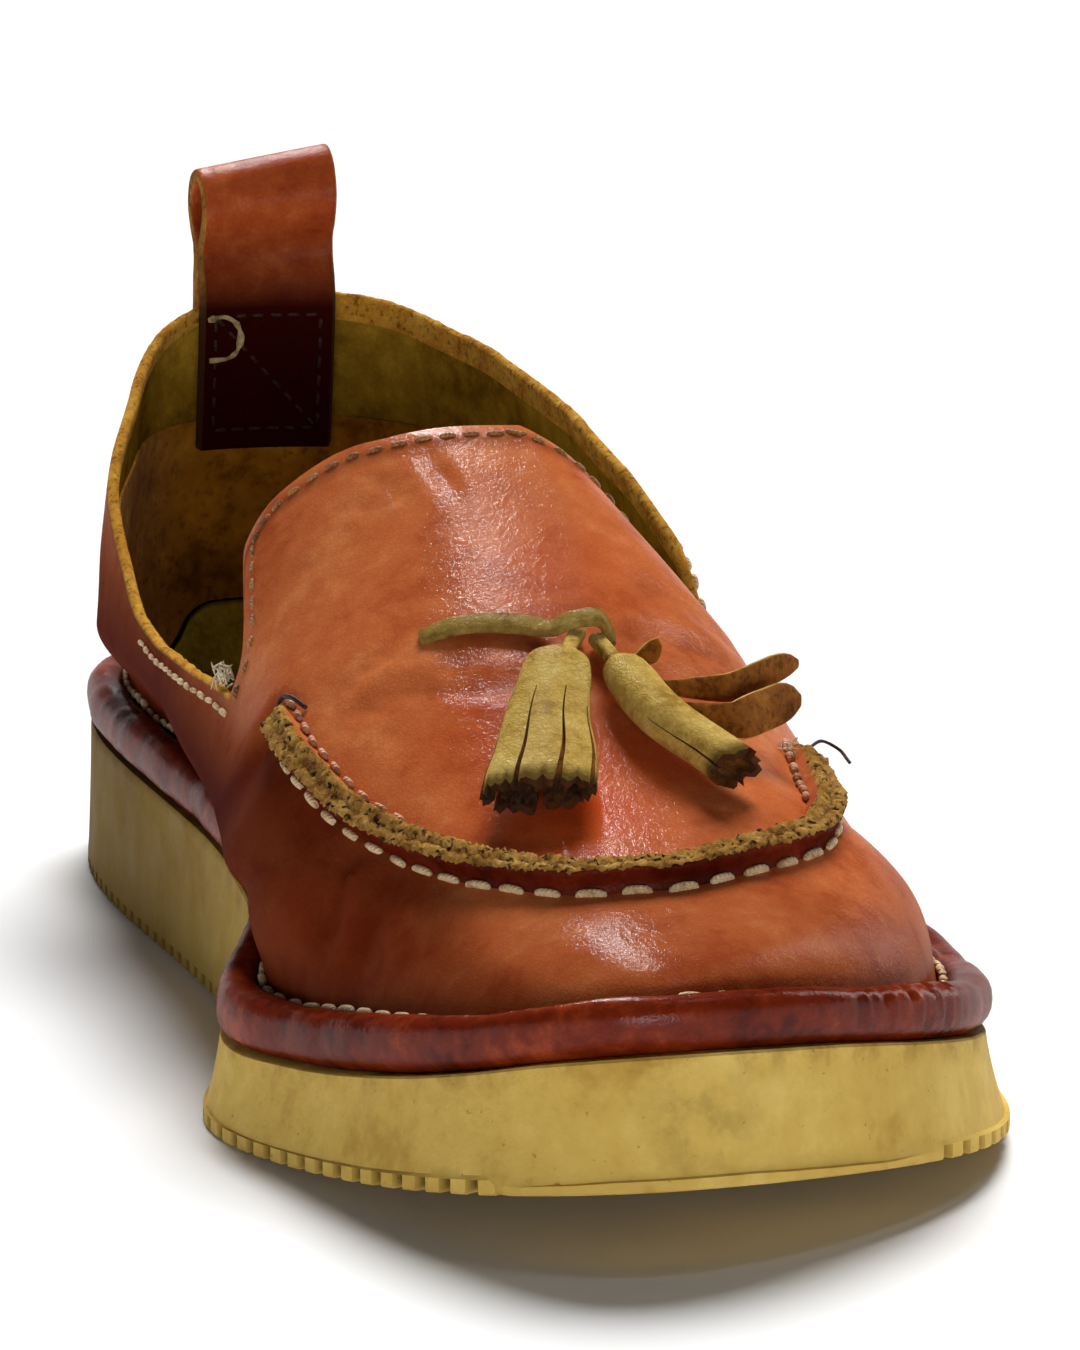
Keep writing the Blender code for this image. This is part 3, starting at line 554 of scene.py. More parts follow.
welt_leather = leather(
    "welt leather", tones=((158, 62, 26), (112, 34, 11), (76, 19, 5)), shaded=(36, 8, 2),
    warm=(140, 50, 20), patch=60.0, grain=1500.0, relief=0.2, coat=0.34, rough=0.45,
)
bead_shares = np.linspace(0.0, 1.0, BEAD_STEPS + 1)
bead_rows = []
bead_shade = []
for corner in range(BEAD_SIDES + 1):
    turn = 2.0 * math.pi * (corner % BEAD_SIDES) / BEAD_SIDES
    wide = rounded(math.cos(turn), 2.0 / BEAD_ROUND)
    tall = rounded(math.sin(turn), 2.0 / BEAD_ROUND)
    halves = []
    for side in (INNER, OUTER):
        swell = soft_noise(BEAD_STEPS + 1, 34, 20 + side) * BROAD_SWELL
        swell = swell + soft_noise(BEAD_STEPS + 1, 90, 30 + side) * FINE_SWELL
        swell *= ease(np.minimum(bead_shares, 1.0 - bead_shares) / SWELL_FADE)
        for pucker_side, first, last, pitch, depth in WELT_PUCKERS:
            if pucker_side == side:
                inside = ease((bead_shares - first) / PUCKER_FADE) * ease((last - bead_shares) / PUCKER_FADE)
                wave = np.abs(np.sin(math.pi * (bead_shares - first) / pitch + 0.5 * tall))
                swell = swell - inside * depth * (1.0 - wave ** PUCKER_ROUND)
        radius = BEAD_WIDTH / 2.0 + swell * max(0.0, 0.3 + 0.7 * max(tall, wide))
        middle = BEAD_WIDTH / 2.0 - BEAD_OVERHANG
        edge = rim_at(side, bead_shares, 0.0)
        inward = edge - rim_at(side, bead_shares, -1.0)
        place = edge + inward * (middle - radius * wide)[:, None]
        crest = tall * (1.0 + swell / 4.0 * (tall > 0.0))
        high = sole_top(place[:, 1]) + GAP + BEAD_HEIGHT / 2.0 * (1.0 + crest)
        halves.append(np.column_stack([place, high]))
    ring = round_the_shoe(*halves)
    bead_rows.append(ring)
    # The bead's inner face and underside are painted with shade.
    dark = INNER_FACE_SHADE * ease((-wide - 0.2) / 0.6) + UNDERSIDE_SHADE * ease((-tall - 0.4) / 0.5)
    bead_shade.append(np.full(len(ring), dark))
welt_roll = shaped_grid("welt_roll", bead_rows, [welt_leather], marks={"shade": bead_shade})
ride_root(welt_roll, "welt_leather", "rolled_welt")

# Sock
# A sheet of olive leather pasted on the insole inside the shoe. The foot has hollowed it slightly, and its
# edge lies against the lining.
UPPER_WALL = 2.0
UPPER_LIFT = 0.5
UPPER_INSET = BEAD_WIDTH - BEAD_OVERHANG + GAP
SOCK_INSET = UPPER_INSET + UPPER_WALL + 1.8
SOCK_LIFT = 0.4
SOCK_THICKNESS = 3.0
SOCK_DISH = 0.5
SOCK_SHEET = 2.4
SOCK_STEPS = 90
SOCK_COLUMNS = 22
sock_leather = leather(
    "sock leather", tones=((168, 144, 58), (142, 118, 42), (108, 86, 26)), shaded=(48, 34, 8),
    warm=(130, 96, 30), patch=70.0, grain=800.0, relief=0.4, coat=0.05,
)
sock_shares = np.linspace(0.0, 1.0, SOCK_STEPS + 1)
inner_edge = rim_at(INNER, sock_shares, SOCK_INSET)
outer_edge = rim_at(OUTER, sock_shares, SOCK_INSET)
sock_rows = []
for way in np.linspace(0.0, 1.0, SOCK_COLUMNS + 1):
    plan = inner_edge * (1.0 - way) + outer_edge * way
    dish = SOCK_DISH * math.sin(math.pi * way)
    sock_rows.append(np.column_stack([plan, sole_top(plan[:, 1]) + SOCK_LIFT + SOCK_THICKNESS - dish]))
under_rows = [row - np.array([0.0, 0.0, SOCK_SHEET]) for row in sock_rows[::-1]]
sock_rows = sock_rows + under_rows + sock_rows[:1]
sock = shaped_grid("sock", sock_rows, [sock_leather])
ride_root(sock, "insole_leather", "insole")

# Upper
# One wall of smooth tan leather drawn over the last: vamp, tongue and quarters. The tongue's edge is turned
# and stitched, the collar's edge is left raw, and the inside is lined with olive leather.
RIBS_PER_SIDE = 220
CORNER_RIB = 105
OUTER_LEVELS = 54
INNER_LEVELS = 26
RIM_TURNS = 5
RIB_TURN_FROM = 0.3
RIB_TURN_TO = 0.65
LAST = (
    # share, crest, inner_round, outer_round, inner_lean, outer_lean
    (0.00, 0.0, 2.2, 2.2, 0.0, 0.0),
    (0.05, 11.4, 2.3, 2.43, 0.0, 0.0),
    (0.10, 16.9, 2.4, 2.46, 0.0, 0.6),
    (0.165, 23.9, 2.4, 2.45, 0.0, 1.1),
    (0.24, 35.4, 2.3, 2.3, 0.5, 1.4),
    (0.30, 45.2, 2.2, 1.75, 5.0, 1.0),
    (0.36, 54.4, 2.15, 1.62, 10.0, 0.9),
    (0.42, 61.9, 2.1, 1.62, 15.0, 0.8),
    (0.50, 71.8, 2.1, 1.47, 16.7, 1.0),
    (0.54, 75.4, 2.1, 1.75, 15.7, 7.0),
    (0.58, 79.4, 2.1, 2.05, 13.8, 9.5),
    (0.66, 88.7, 2.2, 2.15, 11.2, 9.0),
    (0.74, 102.0, 2.3, 2.3, 9.5, 7.5),
    (0.82, 114.0, 2.2, 2.5, 3.5, 4.0),
    (0.91, 121.0, 2.35, 2.6, 0.5, 0.5),
    (1.00, 125.0, 2.6, 2.6, 0.0, 0.0),
)
CREST, INNER_ROUND, OUTER_ROUND, INNER_LEAN, OUTER_LEAN = 1, 2, 3, 4, 5
LEAN_FROM = 6.5
LEAN_TO = 22.0
HEEL_CURVE_FROM = 0.7
HEEL_FORWARD = 9.2
HEEL_BULGE = 2.0
COLLAR_RISE = 72.0
NORMAL_STEP = 0.001
TOE_LIMIT = 0.004
# Top edge on each side: the tongue's from its apex to the throat's corner, the collar's on to the heel.
INNER_TONGUE = (
    # way, share, angle
    (0.00, 0.497, 90.0),
    (0.13, 0.499, 81.2),
    (0.22, 0.501, 74.3),
    (0.31, 0.506, 67.7),
    (0.42, 0.511, 58.0),
    (0.52, 0.515, 50.3),
    (0.61, 0.511, 44.3),
    (0.68, 0.499, 41.8),
    (0.76, 0.485, 39.6),
    (0.87, 0.467, 36.6),
    (0.94, 0.459, 33.7),
    (1.00, 0.456, 29.6),
)
OUTER_TONGUE = (
    # way, share, angle
    (0.00, 0.497, 90.0),
    (0.15, 0.494, 81.0),
    (0.30, 0.497, 70.0),
    (0.42, 0.499, 62.0),
    (0.55, 0.500, 54.0),
    (0.70, 0.503, 46.0),
    (0.85, 0.507, 38.0),
    (1.00, 0.513, 31.0),
)
INNER_COLLAR = (
    # way, share, angle
    (0.00, 0.456, 29.6),
    (0.12, 0.526, 23.2),
    (0.24, 0.602, 18.6),
    (0.32, 0.650, 17.5),
    (0.40, 0.690, 19.3),
    (0.50, 0.735, 21.6),
    (0.60, 0.780, 25.5),
    (0.70, 0.830, 28.5),
    (0.85, 0.920, 29.2),
    (1.00, 1.000, 29.0),
)
OUTER_COLLAR = (
    # way, share, angle
    (0.00, 0.513, 31.0),
    (0.08, 0.545, 31.0),
    (0.14, 0.562, 33.5),
    (0.21, 0.590, 36.0),
    (0.29, 0.622, 38.5),
    (0.39, 0.670, 37.7),
    (0.50, 0.734, 33.0),
    (0.62, 0.798, 29.4),
    (0.74, 0.863, 28.2),
    (0.86, 0.920, 28.7),
    (1.00, 1.000, 29.0),
)
# How the turned edge of the tongue and the raw one of the collar are rounded, and how ragged the raw one is.
TURNED_FULLNESS = 0.55
RAW_FULLNESS = 0.95
RAW_EDGE_RAGGED = 0.16
# Rows of the lining along the collar that are raw too, and the ribs where the outer side has more of them.
RAW_INSIDE = 1
OUTER_RAW_INSIDE = 2
OUTER_RAW_FROM_HEEL = 5
OUTER_RAW_FROM_THROAT = 20
# Folds that the foot has worked into the leather: soft troughs between two places on the last. They run out
# at the welt and at the top edge.
FOLD_FREE_FOOT = 0.06
FOLD_FREE_TOP = 0.04
CREASE_STEPS = 20
CREASE_GAIN = 1.35
CREASE_END = 0.04
CREASE_SHOULDER = 0.45
CREASE_WEAR = 1.4
CREASES = (
    # start_share, start_angle, end_share, end_angle, width, depth
    (0.275, 45.0, 0.262, 33.7, 1.5, 0.9),
    (0.259, 45.7, 0.267, 37.5, 1.3, 0.75),
    (0.265, 35.8, 0.251, 20.7, 3.4, 1.3),
    (0.299, 37.4, 0.374, 4.5, 5.0, 1.0),
    (0.237, 37.3, 0.219, 19.0, 4.0, 0.6),
    (0.350, 71.6, 0.349, 86.0, 1.4, 0.5),
    (0.335, 68.4, 0.327, 80.9, 1.8, 0.55),
    (0.347, 53.4, 0.342, 66.7, 2.4, 0.6),
    (0.367, 49.5, 0.373, 64.5, 1.8, 0.4),
    (0.353, 96.3, 0.385, 127.4, 2.0, 0.5),
    (0.399, 106.7, 0.420, 134.6, 2.2, 0.5),
    (0.474, 47.8, 0.451, 57.4, 0.9, 0.3),
    (0.468, 49.8, 0.459, 61.7, 0.8, 0.28),
    (0.475, 62.4, 0.462, 69.7, 1.5, 0.45),
    (0.478, 69.6, 0.457, 73.2, 1.6, 0.4),
    (0.479, 78.2, 0.456, 79.9, 1.6, 0.3),
    (0.300, 150.0, 0.286, 166.0, 4.0, 0.7),
    (0.360, 152.0, 0.352, 168.0, 4.5, 0.8),
    (0.420, 150.0, 0.450, 164.0, 4.0, 0.6),
    (0.384, 33.0, 0.394, 40.3, 3.0, 0.6),
    (0.560, 6.0, 0.640, 7.5, 4.0, 0.7),
    (0.580, 168.0, 0.680, 167.0, 4.5, 0.7),
    (0.760, 12.0, 0.850, 9.0, 4.0, 0.4),
)
# The dye is deeper low on both sides, most of all on the inner one, where painted shade is added to the dye.
# There it stops at the apron's edge.
INNER_DYE_AND_SHADE = (
    # share, angle it reaches, amount
    (0.00, 60.0, 0.40),
    (0.08, 58.0, 0.55),
    (0.15, 58.0, 0.66),
    (0.22, 68.0, 0.72),
    (0.30, 70.0, 0.80),
    (0.37, 60.0, 0.90),
    (0.42, 43.0, 1.00),
    (0.47, 39.0, 1.00),
    (0.56, 36.0, 1.00),
    (0.66, 34.0, 0.95),
    (0.80, 32.0, 0.80),
    (1.00, 30.0, 0.50),
)
OUTER_DYE = (
    # share, angle it reaches, amount
    (0.00, 60.0, 0.40),
    (0.10, 60.0, 0.36),
    (0.22, 54.0, 0.30),
    (0.36, 44.0, 0.30),
    (0.60, 32.0, 0.50),
    (1.00, 30.0, 0.50),
)
DYE_AND_SHADE_FADE = 24.0
APRON_EDGE = (
    # share, angle
    (0.166, 90.0),
    (0.187, 66.6),
    (0.247, 50.4),
    (0.35, 43.6),
    (0.39, 40.8),
    (0.40, 90.0),
)
TOE_DYE = 0.36
TOE_DYE_TO = 0.14
TOE_DYE_FADE = 0.06
FOOT_DYE = 0.55
FOOT_DYE_TO = 0.12
# Painted shade along the sunk stitch line inside the tongue's turned edge.
STITCH_GROOVE_SHADE = 0.5
# Where it is redder.
RED_DYE = (
    # share, angle, reach, amount
    (0.232, 81.6, 20.0, 0.85),
    (0.262, 92.1, 16.0, 0.6),
    (0.296, 74.6, 16.0, 0.35),
    (0.400, 89.8, 20.0, 0.3),
    (0.254, 27.0, 16.0, 0.35),
)


def last_point(share, angle):
    """Outer face of the upper: share runs from toe to heel, angle from the inner foot over to the outer."""
    share, angle = np.broadcast_arrays(np.asarray(share, float), np.asarray(angle, float))
    inner = rim_at(INNER, share, UPPER_INSET)
    outer = rim_at(OUTER, share, UPPER_INSET)
    middle = (inner + outer) / 2.0
    half = (inner - outer) / 2.0
    inside = np.cos(angle) > 0.0
    power = 2.0 / np.where(inside, read_table(LAST, INNER_ROUND, share), read_table(LAST, OUTER_ROUND, share))
    level = np.sign(np.cos(angle)) * np.abs(np.cos(angle)) ** power
    rise = read_table(LAST, CREST, share, root=True) * np.clip(np.sin(angle), 0.0, None) ** power
    inner_foot = sole_top(inner[..., 1])
    outer_foot = sole_top(outer[..., 1])
    foot = (inner_foot + outer_foot + (inner_foot - outer_foot) * level) / 2.0 + UPPER_LIFT
    lean = np.where(inside, read_table(LAST, INNER_LEAN, share), -read_table(LAST, OUTER_LEAN, share))
    lean = lean * ease((rise - LEAN_FROM) / (LEAN_TO - LEAN_FROM)) * np.sqrt(np.abs(level))
    across = half / np.maximum(np.linalg.norm(half, axis=-1), GAP)[..., None]
    plan = middle + half * level[..., None] + across * lean[..., None]
    heel = ease((share - HEEL_CURVE_FROM) / (1.0 - HEEL_CURVE_FROM))
    tall = np.clip(rise / COLLAR_RISE, 0.0, 1.0)
    back = heel * (HEEL_BULGE * np.sin(math.pi * tall) - HEEL_FORWARD * ease(tall))
    return np.stack([plan[..., 0], plan[..., 1] + back, foot + rise], axis=-1)


def last_normal(share, angle):
    """Outward direction of the upper's outer face."""
    ahead = last_point(np.clip(share + NORMAL_STEP, 0.0, 1.0), angle)
    behind = last_point(np.clip(share - NORMAL_STEP, 0.0, 1.0), angle)
    around = last_point(share, angle + NORMAL_STEP) - last_point(share, angle - NORMAL_STEP)
    normal = np.cross(around, ahead - behind)
    return normal / np.maximum(np.linalg.norm(normal, axis=-1), 1e-9)[..., None]


def side_angle(side, angle):
    """Angle over the whole last, from an angle counted up from one side's foot."""
    return angle if side == INNER else math.pi - angle


def upper_rib(side, rib):
    """Shares and angles up the wall from the welt to the top edge, fanned at the toe, upright at the heel."""
    if rib <= CORNER_RIB:
        rows = INNER_TONGUE if side == INNER else OUTER_TONGUE
        edge_way = rib / CORNER_RIB
    else:
        rows = INNER_COLLAR if side == INNER else OUTER_COLLAR
        edge_way = (rib - CORNER_RIB) / (RIBS_PER_SIDE - CORNER_RIB)
    top_share = float(read_table(rows, 1, edge_way))
    top_angle = math.radians(float(read_table(rows, 2, edge_way)))
    foot = rib / RIBS_PER_SIDE
    way = np.linspace(0.0, 1.0, OUTER_LEVELS + 1)
    level = (1.0 - way) * foot + way * top_share * math.cos(top_angle)
    height = way * top_share * math.sin(top_angle)
    turn = ease((foot - RIB_TURN_FROM) / (RIB_TURN_TO - RIB_TURN_FROM))
    share = (1.0 - turn) * np.hypot(level, height) + turn * ((1.0 - way) * foot + way * top_share)
    angle = (1.0 - turn) * np.arctan2(height, level) + turn * way * top_angle
    return np.column_stack([share, side_angle(side, angle)])


def crease_at(points):
    """How deep the folds sink the leather at each point, and how creased it is."""
    flat = points.reshape(-1, 3)
    sink = np.zeros(len(flat))
    worn = np.zeros(len(flat))
    way = np.linspace(0.0, 1.0, CREASE_STEPS)
    for share_a, angle_a, share_b, angle_b, width, depth in CREASES:
        share = share_a + (share_b - share_a) * way
        line = last_point(share, np.radians(angle_a + (angle_b - angle_a) * way))
        gaps = np.linalg.norm(flat[:, None, :] - line[None, :, :], axis=2)
        nearest = gaps.argmin(axis=1)
        gap = gaps[np.arange(len(flat)), nearest]
        along = np.clip(way[nearest], CREASE_END, 1.0 - CREASE_END)
        strength = CREASE_GAIN * depth * np.sin(math.pi * along) ** 0.5
        trough = np.exp(-(gap / width) ** 2)
        shoulder = np.exp(-((gap - 2.0 * width) / width) ** 2)
        sink += strength * (trough - CREASE_SHOULDER * shoulder)
        worn = np.maximum(worn, trough * min(1.0, depth * CREASE_WEAR))
    return sink.reshape(points.shape[:-1]), worn.reshape(points.shape[:-1])


def dye_at(points, spots):
    """How much of the dye in these spots each point has."""
    amount = np.zeros(points.shape[:-1])
    for share, angle, reach, deep in spots:
        gap = np.linalg.norm(points - last_point(share, math.radians(angle)), axis=-1)
        amount = np.maximum(amount, deep * ease(1.0 - gap / reach))
    return amount


ribs = [np.array([upper_rib(side, rib) for rib in range(RIBS_PER_SIDE + 1)]) for side in (INNER, OUTER)]
wall = round_the_shoe(*ribs).transpose(1, 0, 2)
count = wall.shape[1]
share, angle = wall[..., 0], wall[..., 1]
outside = last_point(share, angle)
normal = last_normal(np.maximum(share, TOE_LIMIT), angle)
sink, creased = crease_at(outside)
up_wall = np.linspace(0.0, 1.0, OUTER_LEVELS + 1)[:, None] * np.ones(outside.shape[:2])
free_edges = ease(up_wall / FOLD_FREE_FOOT) * ease((1.0 - up_wall) / FOLD_FREE_TOP)
dressed = outside - normal * (sink * free_edges)[..., None]

from_foot = {INNER: np.degrees(angle), OUTER: 180.0 - np.degrees(angle)}
shade = np.zeros(angle.shape)
# Painted shade and deeper dye low on the inner side, deeper dye low on the outer one.
for side, rows in ((INNER, INNER_DYE_AND_SHADE), (OUTER, OUTER_DYE)):
    fade = ease((read_table(rows, 1, share) - from_foot[side]) / DYE_AND_SHADE_FADE)
    if side == INNER:
        fade *= from_foot[side] < np.interp(share, *zip(*APRON_EDGE))
    shade = np.maximum(shade, fade * read_table(rows, 2, share))
shade = np.maximum(shade, TOE_DYE * (1.0 - ease((share - TOE_DYE_TO) / TOE_DYE_FADE)))
shade = np.maximum(shade, FOOT_DYE * (1.0 - ease(up_wall / FOOT_DYE_TO)))
# A line of painted shade along the sunk stitching just inside the tongue's turned edge.
shade[-2, :CORNER_RIB] = STITCH_GROOVE_SHADE
shade[-2, -CORNER_RIB:] = STITCH_GROOVE_SHADE
warm = dye_at(outside, RED_DYE)

upward = dressed[-1] - dressed[-2]
upward /= np.linalg.norm(upward, axis=1)[:, None]
ragged = np.random.default_rng(7).uniform(-RAW_EDGE_RAGGED, RAW_EDGE_RAGGED, (RIM_TURNS, count))
ragged[:, -1] = ragged[:, 0]
collar_from, collar_to = CORNER_RIB, count - 1 - CORNER_RIB
on_collar = np.zeros(count)
on_collar[collar_from:collar_to + 1] = 1.0
fullness = UPPER_WALL / 2.0 * (TURNED_FULLNESS + (RAW_FULLNESS - TURNED_FULLNESS) * on_collar)
rim_rows = []
for number in range(RIM_TURNS):
    turn = math.pi * (number + 1) / (RIM_TURNS + 1)
    middle = dressed[-1] - normal[-1] * (UPPER_WALL / 2.0)
    across = normal[-1] * (UPPER_WALL / 2.0 * math.cos(turn))
    lift = upward * (fullness * math.sin(turn) + ragged[number] * on_collar)[:, None]
    rim_rows.append(middle + across + lift)
inner_levels = np.linspace(OUTER_LEVELS, 0, INNER_LEVELS + 1).round().astype(int)
inner_rows = [dressed[k] - normal[k] * UPPER_WALL for k in inner_levels]
upper_points = np.concatenate([dressed, rim_rows, inner_rows, dressed[:1]])
unmarked = np.zeros((len(upper_points) - len(dressed), count))
upper_marks = {"shade": shade, "warm": warm, "crease": creased}

OUTSIDE, RAW, LINING, TURNED = 0, 1, 2, 3
rim_end = OUTER_LEVELS + RIM_TURNS + 1
which = np.full((len(upper_points) - 1, count - 1), LINING)
which[:OUTER_LEVELS] = OUTSIDE
which[OUTER_LEVELS:rim_end] = TURNED
which[OUTER_LEVELS:rim_end + RAW_INSIDE, collar_from:collar_to] = RAW
outer_raw = slice(RIBS_PER_SIDE + OUTER_RAW_FROM_HEEL, collar_to - OUTER_RAW_FROM_THROAT)
which[rim_end:rim_end + OUTER_RAW_INSIDE, outer_raw] = RAW

# Cut and suede leather: loose fibres with dark flecks between them.
FIBRES, taken, given = shader_group(
    "leather fibres", (("Vector", VECTOR), ("Scale", FLOAT)), (("Height", FLOAT), ("Fleck", FLOAT))
)
tuft = noise(FIBRES, taken.outputs["Vector"], taken.outputs["Scale"], 5.0, 0.75)
speckle_scale = math_node(FIBRES, "MULTIPLY", taken.outputs["Scale"], 0.6)
speckle = noise(FIBRES, taken.outputs["Vector"], speckle_scale, 3.0, 0.6)
FIBRES.links.new(tuft, given.inputs["Height"])
FIBRES.links.new(ramp(FIBRES, speckle, 0.53, 0.66), given.inputs["Fleck"])


def suede(name, tones, fleck, patch, fibre, relief, flecked):
    """Leather with its fibres showing: a cut edge, a flesh side or a brushed nap. Fibre is how many tufts
    there are to a metre, and flecked is how strong the flecks are."""
    material, tree, shader, where = blank_material(name)
    base = mottled(tree, where, patch, tones)
    nap = shader_node(tree, "ShaderNodeGroup", {"Vector": where, "Scale": fibre}, node_tree=FIBRES)
    base = stain(tree, base, nap.outputs["Fleck"], flecked, fleck)
    base = mix(tree, mark_value(tree, "shade"), base, colour(*fleck))
    tree.links.new(base, shader.inputs["Base Color"])
    shader.inputs["Roughness"].default_value = 0.9
    shader.inputs["Specular IOR Level"].default_value = 0.0
    shader.inputs["Sheen Weight"].default_value = 0.06
    shader.inputs["Sheen Roughness"].default_value = 0.5
    bump(tree, shader, nap.outputs["Height"], relief, 0.6)
    return material


tan_leather = leather(
    "tan leather", tones=((216, 128, 74), (198, 105, 57), (172, 80, 39)), shaded=(74, 13, 3),
    warm=(192, 66, 16), patch=38.0, grain=1250.0, relief=0.23, coat=0.26,
)
raw_edge = suede(
    "raw collar edge", tones=((236, 182, 78), (216, 154, 52), (176, 114, 32)), fleck=(84, 48, 12),
    patch=220.0, fibre=1500.0, relief=0.8, flecked=0.6,
)
olive_lining = leather(
    "olive lining", tones=((192, 152, 50), (156, 118, 32), (114, 82, 18)), shaded=(34, 20, 3),
    warm=(90, 60, 16), patch=50.0, grain=800.0, relief=0.35, coat=0.05,
)
turned_edge = leather(
    "turned tongue edge", tones=((150, 84, 50), (120, 62, 34), (84, 40, 20)), shaded=(50, 20, 8),
    warm=(120, 50, 20), patch=200.0, grain=1000.0, relief=0.5, coat=0.1,
)
upper_wall = shaped_grid(
    "upper_wall",
    upper_points,
    [tan_leather, raw_edge, olive_lining, turned_edge],
    which=which,
    marks={label: np.concatenate([values, unmarked]) for label, values in upper_marks.items()},
    sharp=75.0,
)
ride_root(upper_wall, "upper_leather", "upper")

# Counter pocket
# A lining of brown suede that keeps the heel from slipping. It is cut in an arch and pasted to the inside of
# the upper, below the collar.
POCKET_TOP = (
    # share, rise
    (0.56, 3.0),
    (0.60, 16.0),
    (0.66, 30.0),
    (0.74, 40.0),
    (0.84, 47.0),
    (1.00, 50.0),
)
POCKET_BELOW = 4.0
POCKET_GAP = 0.12
POCKET_THICKNESS = 0.45
POCKET_STEPS = 60
POCKET_LEVELS = 16
POCKET_FOOT = 0.04
HEEL_LIMIT = 0.9985
ROUND_COLUMN = {INNER: INNER_ROUND, OUTER: OUTER_ROUND}


def angle_at_rise(side, share, rise):
    """Angle on the last where its wall has risen this far above its foot."""
    rounding = read_table(LAST, ROUND_COLUMN[side], share)
    return np.arcsin((rise / read_table(LAST, CREST, share, root=True)) ** (rounding / 2.0))


def rise_at_angle(side, share, angle):
    """How far the last's wall has risen above its foot at an angle."""
    rounding = read_table(LAST, ROUND_COLUMN[side], share)
    return read_table(LAST, CREST, share, root=True) * np.sin(angle) ** (2.0 / rounding)


def heel_sheet(shares, tops, levels, depth, thickness):
    """Rows of a sheet inside the heel, up its back and down its front. Tops has the rise of its upper edge
    on each side, and depth is how far its back is from the outside of the upper."""
    back = []
    front = []
    for level in levels:
        places = []
        inwards = []
        for side in (INNER, OUTER):
            angle = side_angle(side, angle_at_rise(side, shares, tops[side] * level))
            inward = -last_normal(np.minimum(shares, HEEL_LIMIT), angle)
            places.append(last_point(shares, angle) + inward * depth)
            inwards.append(inward * thickness)
        back.append(round_the_shoe(*places))
        front.append(back[-1] + round_the_shoe(*inwards))
    return back + front[::-1] + back[:1]


brown_suede = suede(
    "brown suede", tones=((214, 150, 48), (182, 120, 28), (136, 84, 14)), fleck=(62, 34, 4), patch=60.0,
    fibre=900.0, relief=0.5, flecked=0.4,
)
pocket_share = np.linspace(POCKET_TOP[0][0], 1.0, POCKET_STEPS + 1)
pocket_tops = {}
for side, rows in ((INNER, INNER_COLLAR), (OUTER, OUTER_COLLAR)):
    _, collar_share, collar_angle = zip(*rows)
    angle = np.radians(np.interp(pocket_share, collar_share, collar_angle))
    below_collar = rise_at_angle(side, pocket_share, angle) - POCKET_BELOW
    pocket_tops[side] = np.minimum(read_table(POCKET_TOP, 1, pocket_share), below_collar)
pocket_levels = np.linspace(POCKET_FOOT, 1.0, POCKET_LEVELS + 1)
pocket_depth = UPPER_WALL + POCKET_GAP
pocket_rows = heel_sheet(pocket_share, pocket_tops, pocket_levels, pocket_depth, POCKET_THICKNESS)
counter_pocket = shaped_grid("counter_pocket", pocket_rows, [brown_suede])
ride_root(counter_pocket, "insole_leather")

# Heel pad
# A cup of soft olive leather that turns up behind the heel, in front of the suede. The top of its edge is
# painted dark with the shade of the gap behind it.
PAD_TOP = (
    # share, rise
    (0.88, 3.2),
    (0.93, 9.6),
    (0.945, 13.6),
    (0.965, 15.6),
    (1.00, 15.9),
)
PAD_STEPS = 40
PAD_LEVELS = (0.1, 0.3, 0.5, 0.7, 0.86, 0.93, 1.0)
PAD_GAP = 0.15
PAD_THICKNESS = 1.0
pad_share = np.linspace(PAD_TOP[0][0], 1.0, PAD_STEPS + 1)
pad_tops = dict.fromkeys((INNER, OUTER), read_table(PAD_TOP, 1, pad_share))
pad_depth = pocket_depth + POCKET_THICKNESS + PAD_GAP
pad_rows = heel_sheet(pad_share, pad_tops, PAD_LEVELS, pad_depth, PAD_THICKNESS)
# Painted shade along the top of the pad's edge.
pad_shade = np.zeros((len(pad_rows), len(pad_rows[0])))
pad_shade[len(PAD_LEVELS) - 1:len(PAD_LEVELS) + 1] = 1.0
pad_leather = leather(
    "pad leather", tones=((226, 204, 76), (200, 176, 58), (160, 136, 40)), shaded=(30, 20, 4),
    warm=(130, 96, 30), patch=70.0, grain=800.0, relief=0.3, coat=0.03,
)
heel_pad = shaped_grid("heel_pad", pad_rows, [pad_leather], marks={"shade": pad_shade})
ride_root(heel_pad, "insole_leather")

# Apron seam
# The edges of apron and vamp are turned up back to back and sewn through, so that two raw edges of ochre
# leather stand up along a U. The vamp's side of the ridge keeps its smooth face, painted dark with shade.
SEAM_LINE = (
    # way, share, angle
    (0.00, 0.388, 40.9),
    (0.08, 0.350, 43.6),
    (0.14, 0.318, 46.4),
    (0.22, 0.277, 48.3),
    (0.29, 0.247, 50.4),
    (0.36, 0.214, 56.6),
    (0.44, 0.187, 66.6),
    (0.50, 0.169, 77.9),
    (0.55, 0.166, 89.1),
    (0.61, 0.177, 98.2),
    (0.68, 0.195, 109.6),
    (0.74, 0.219, 119.0),
    (0.80, 0.246, 123.4),
    (0.91, 0.303, 131.6),
    (1.00, 0.344, 133.6),
)
SEAM_PITCH = 0.45
LINE_SAMPLES = 600
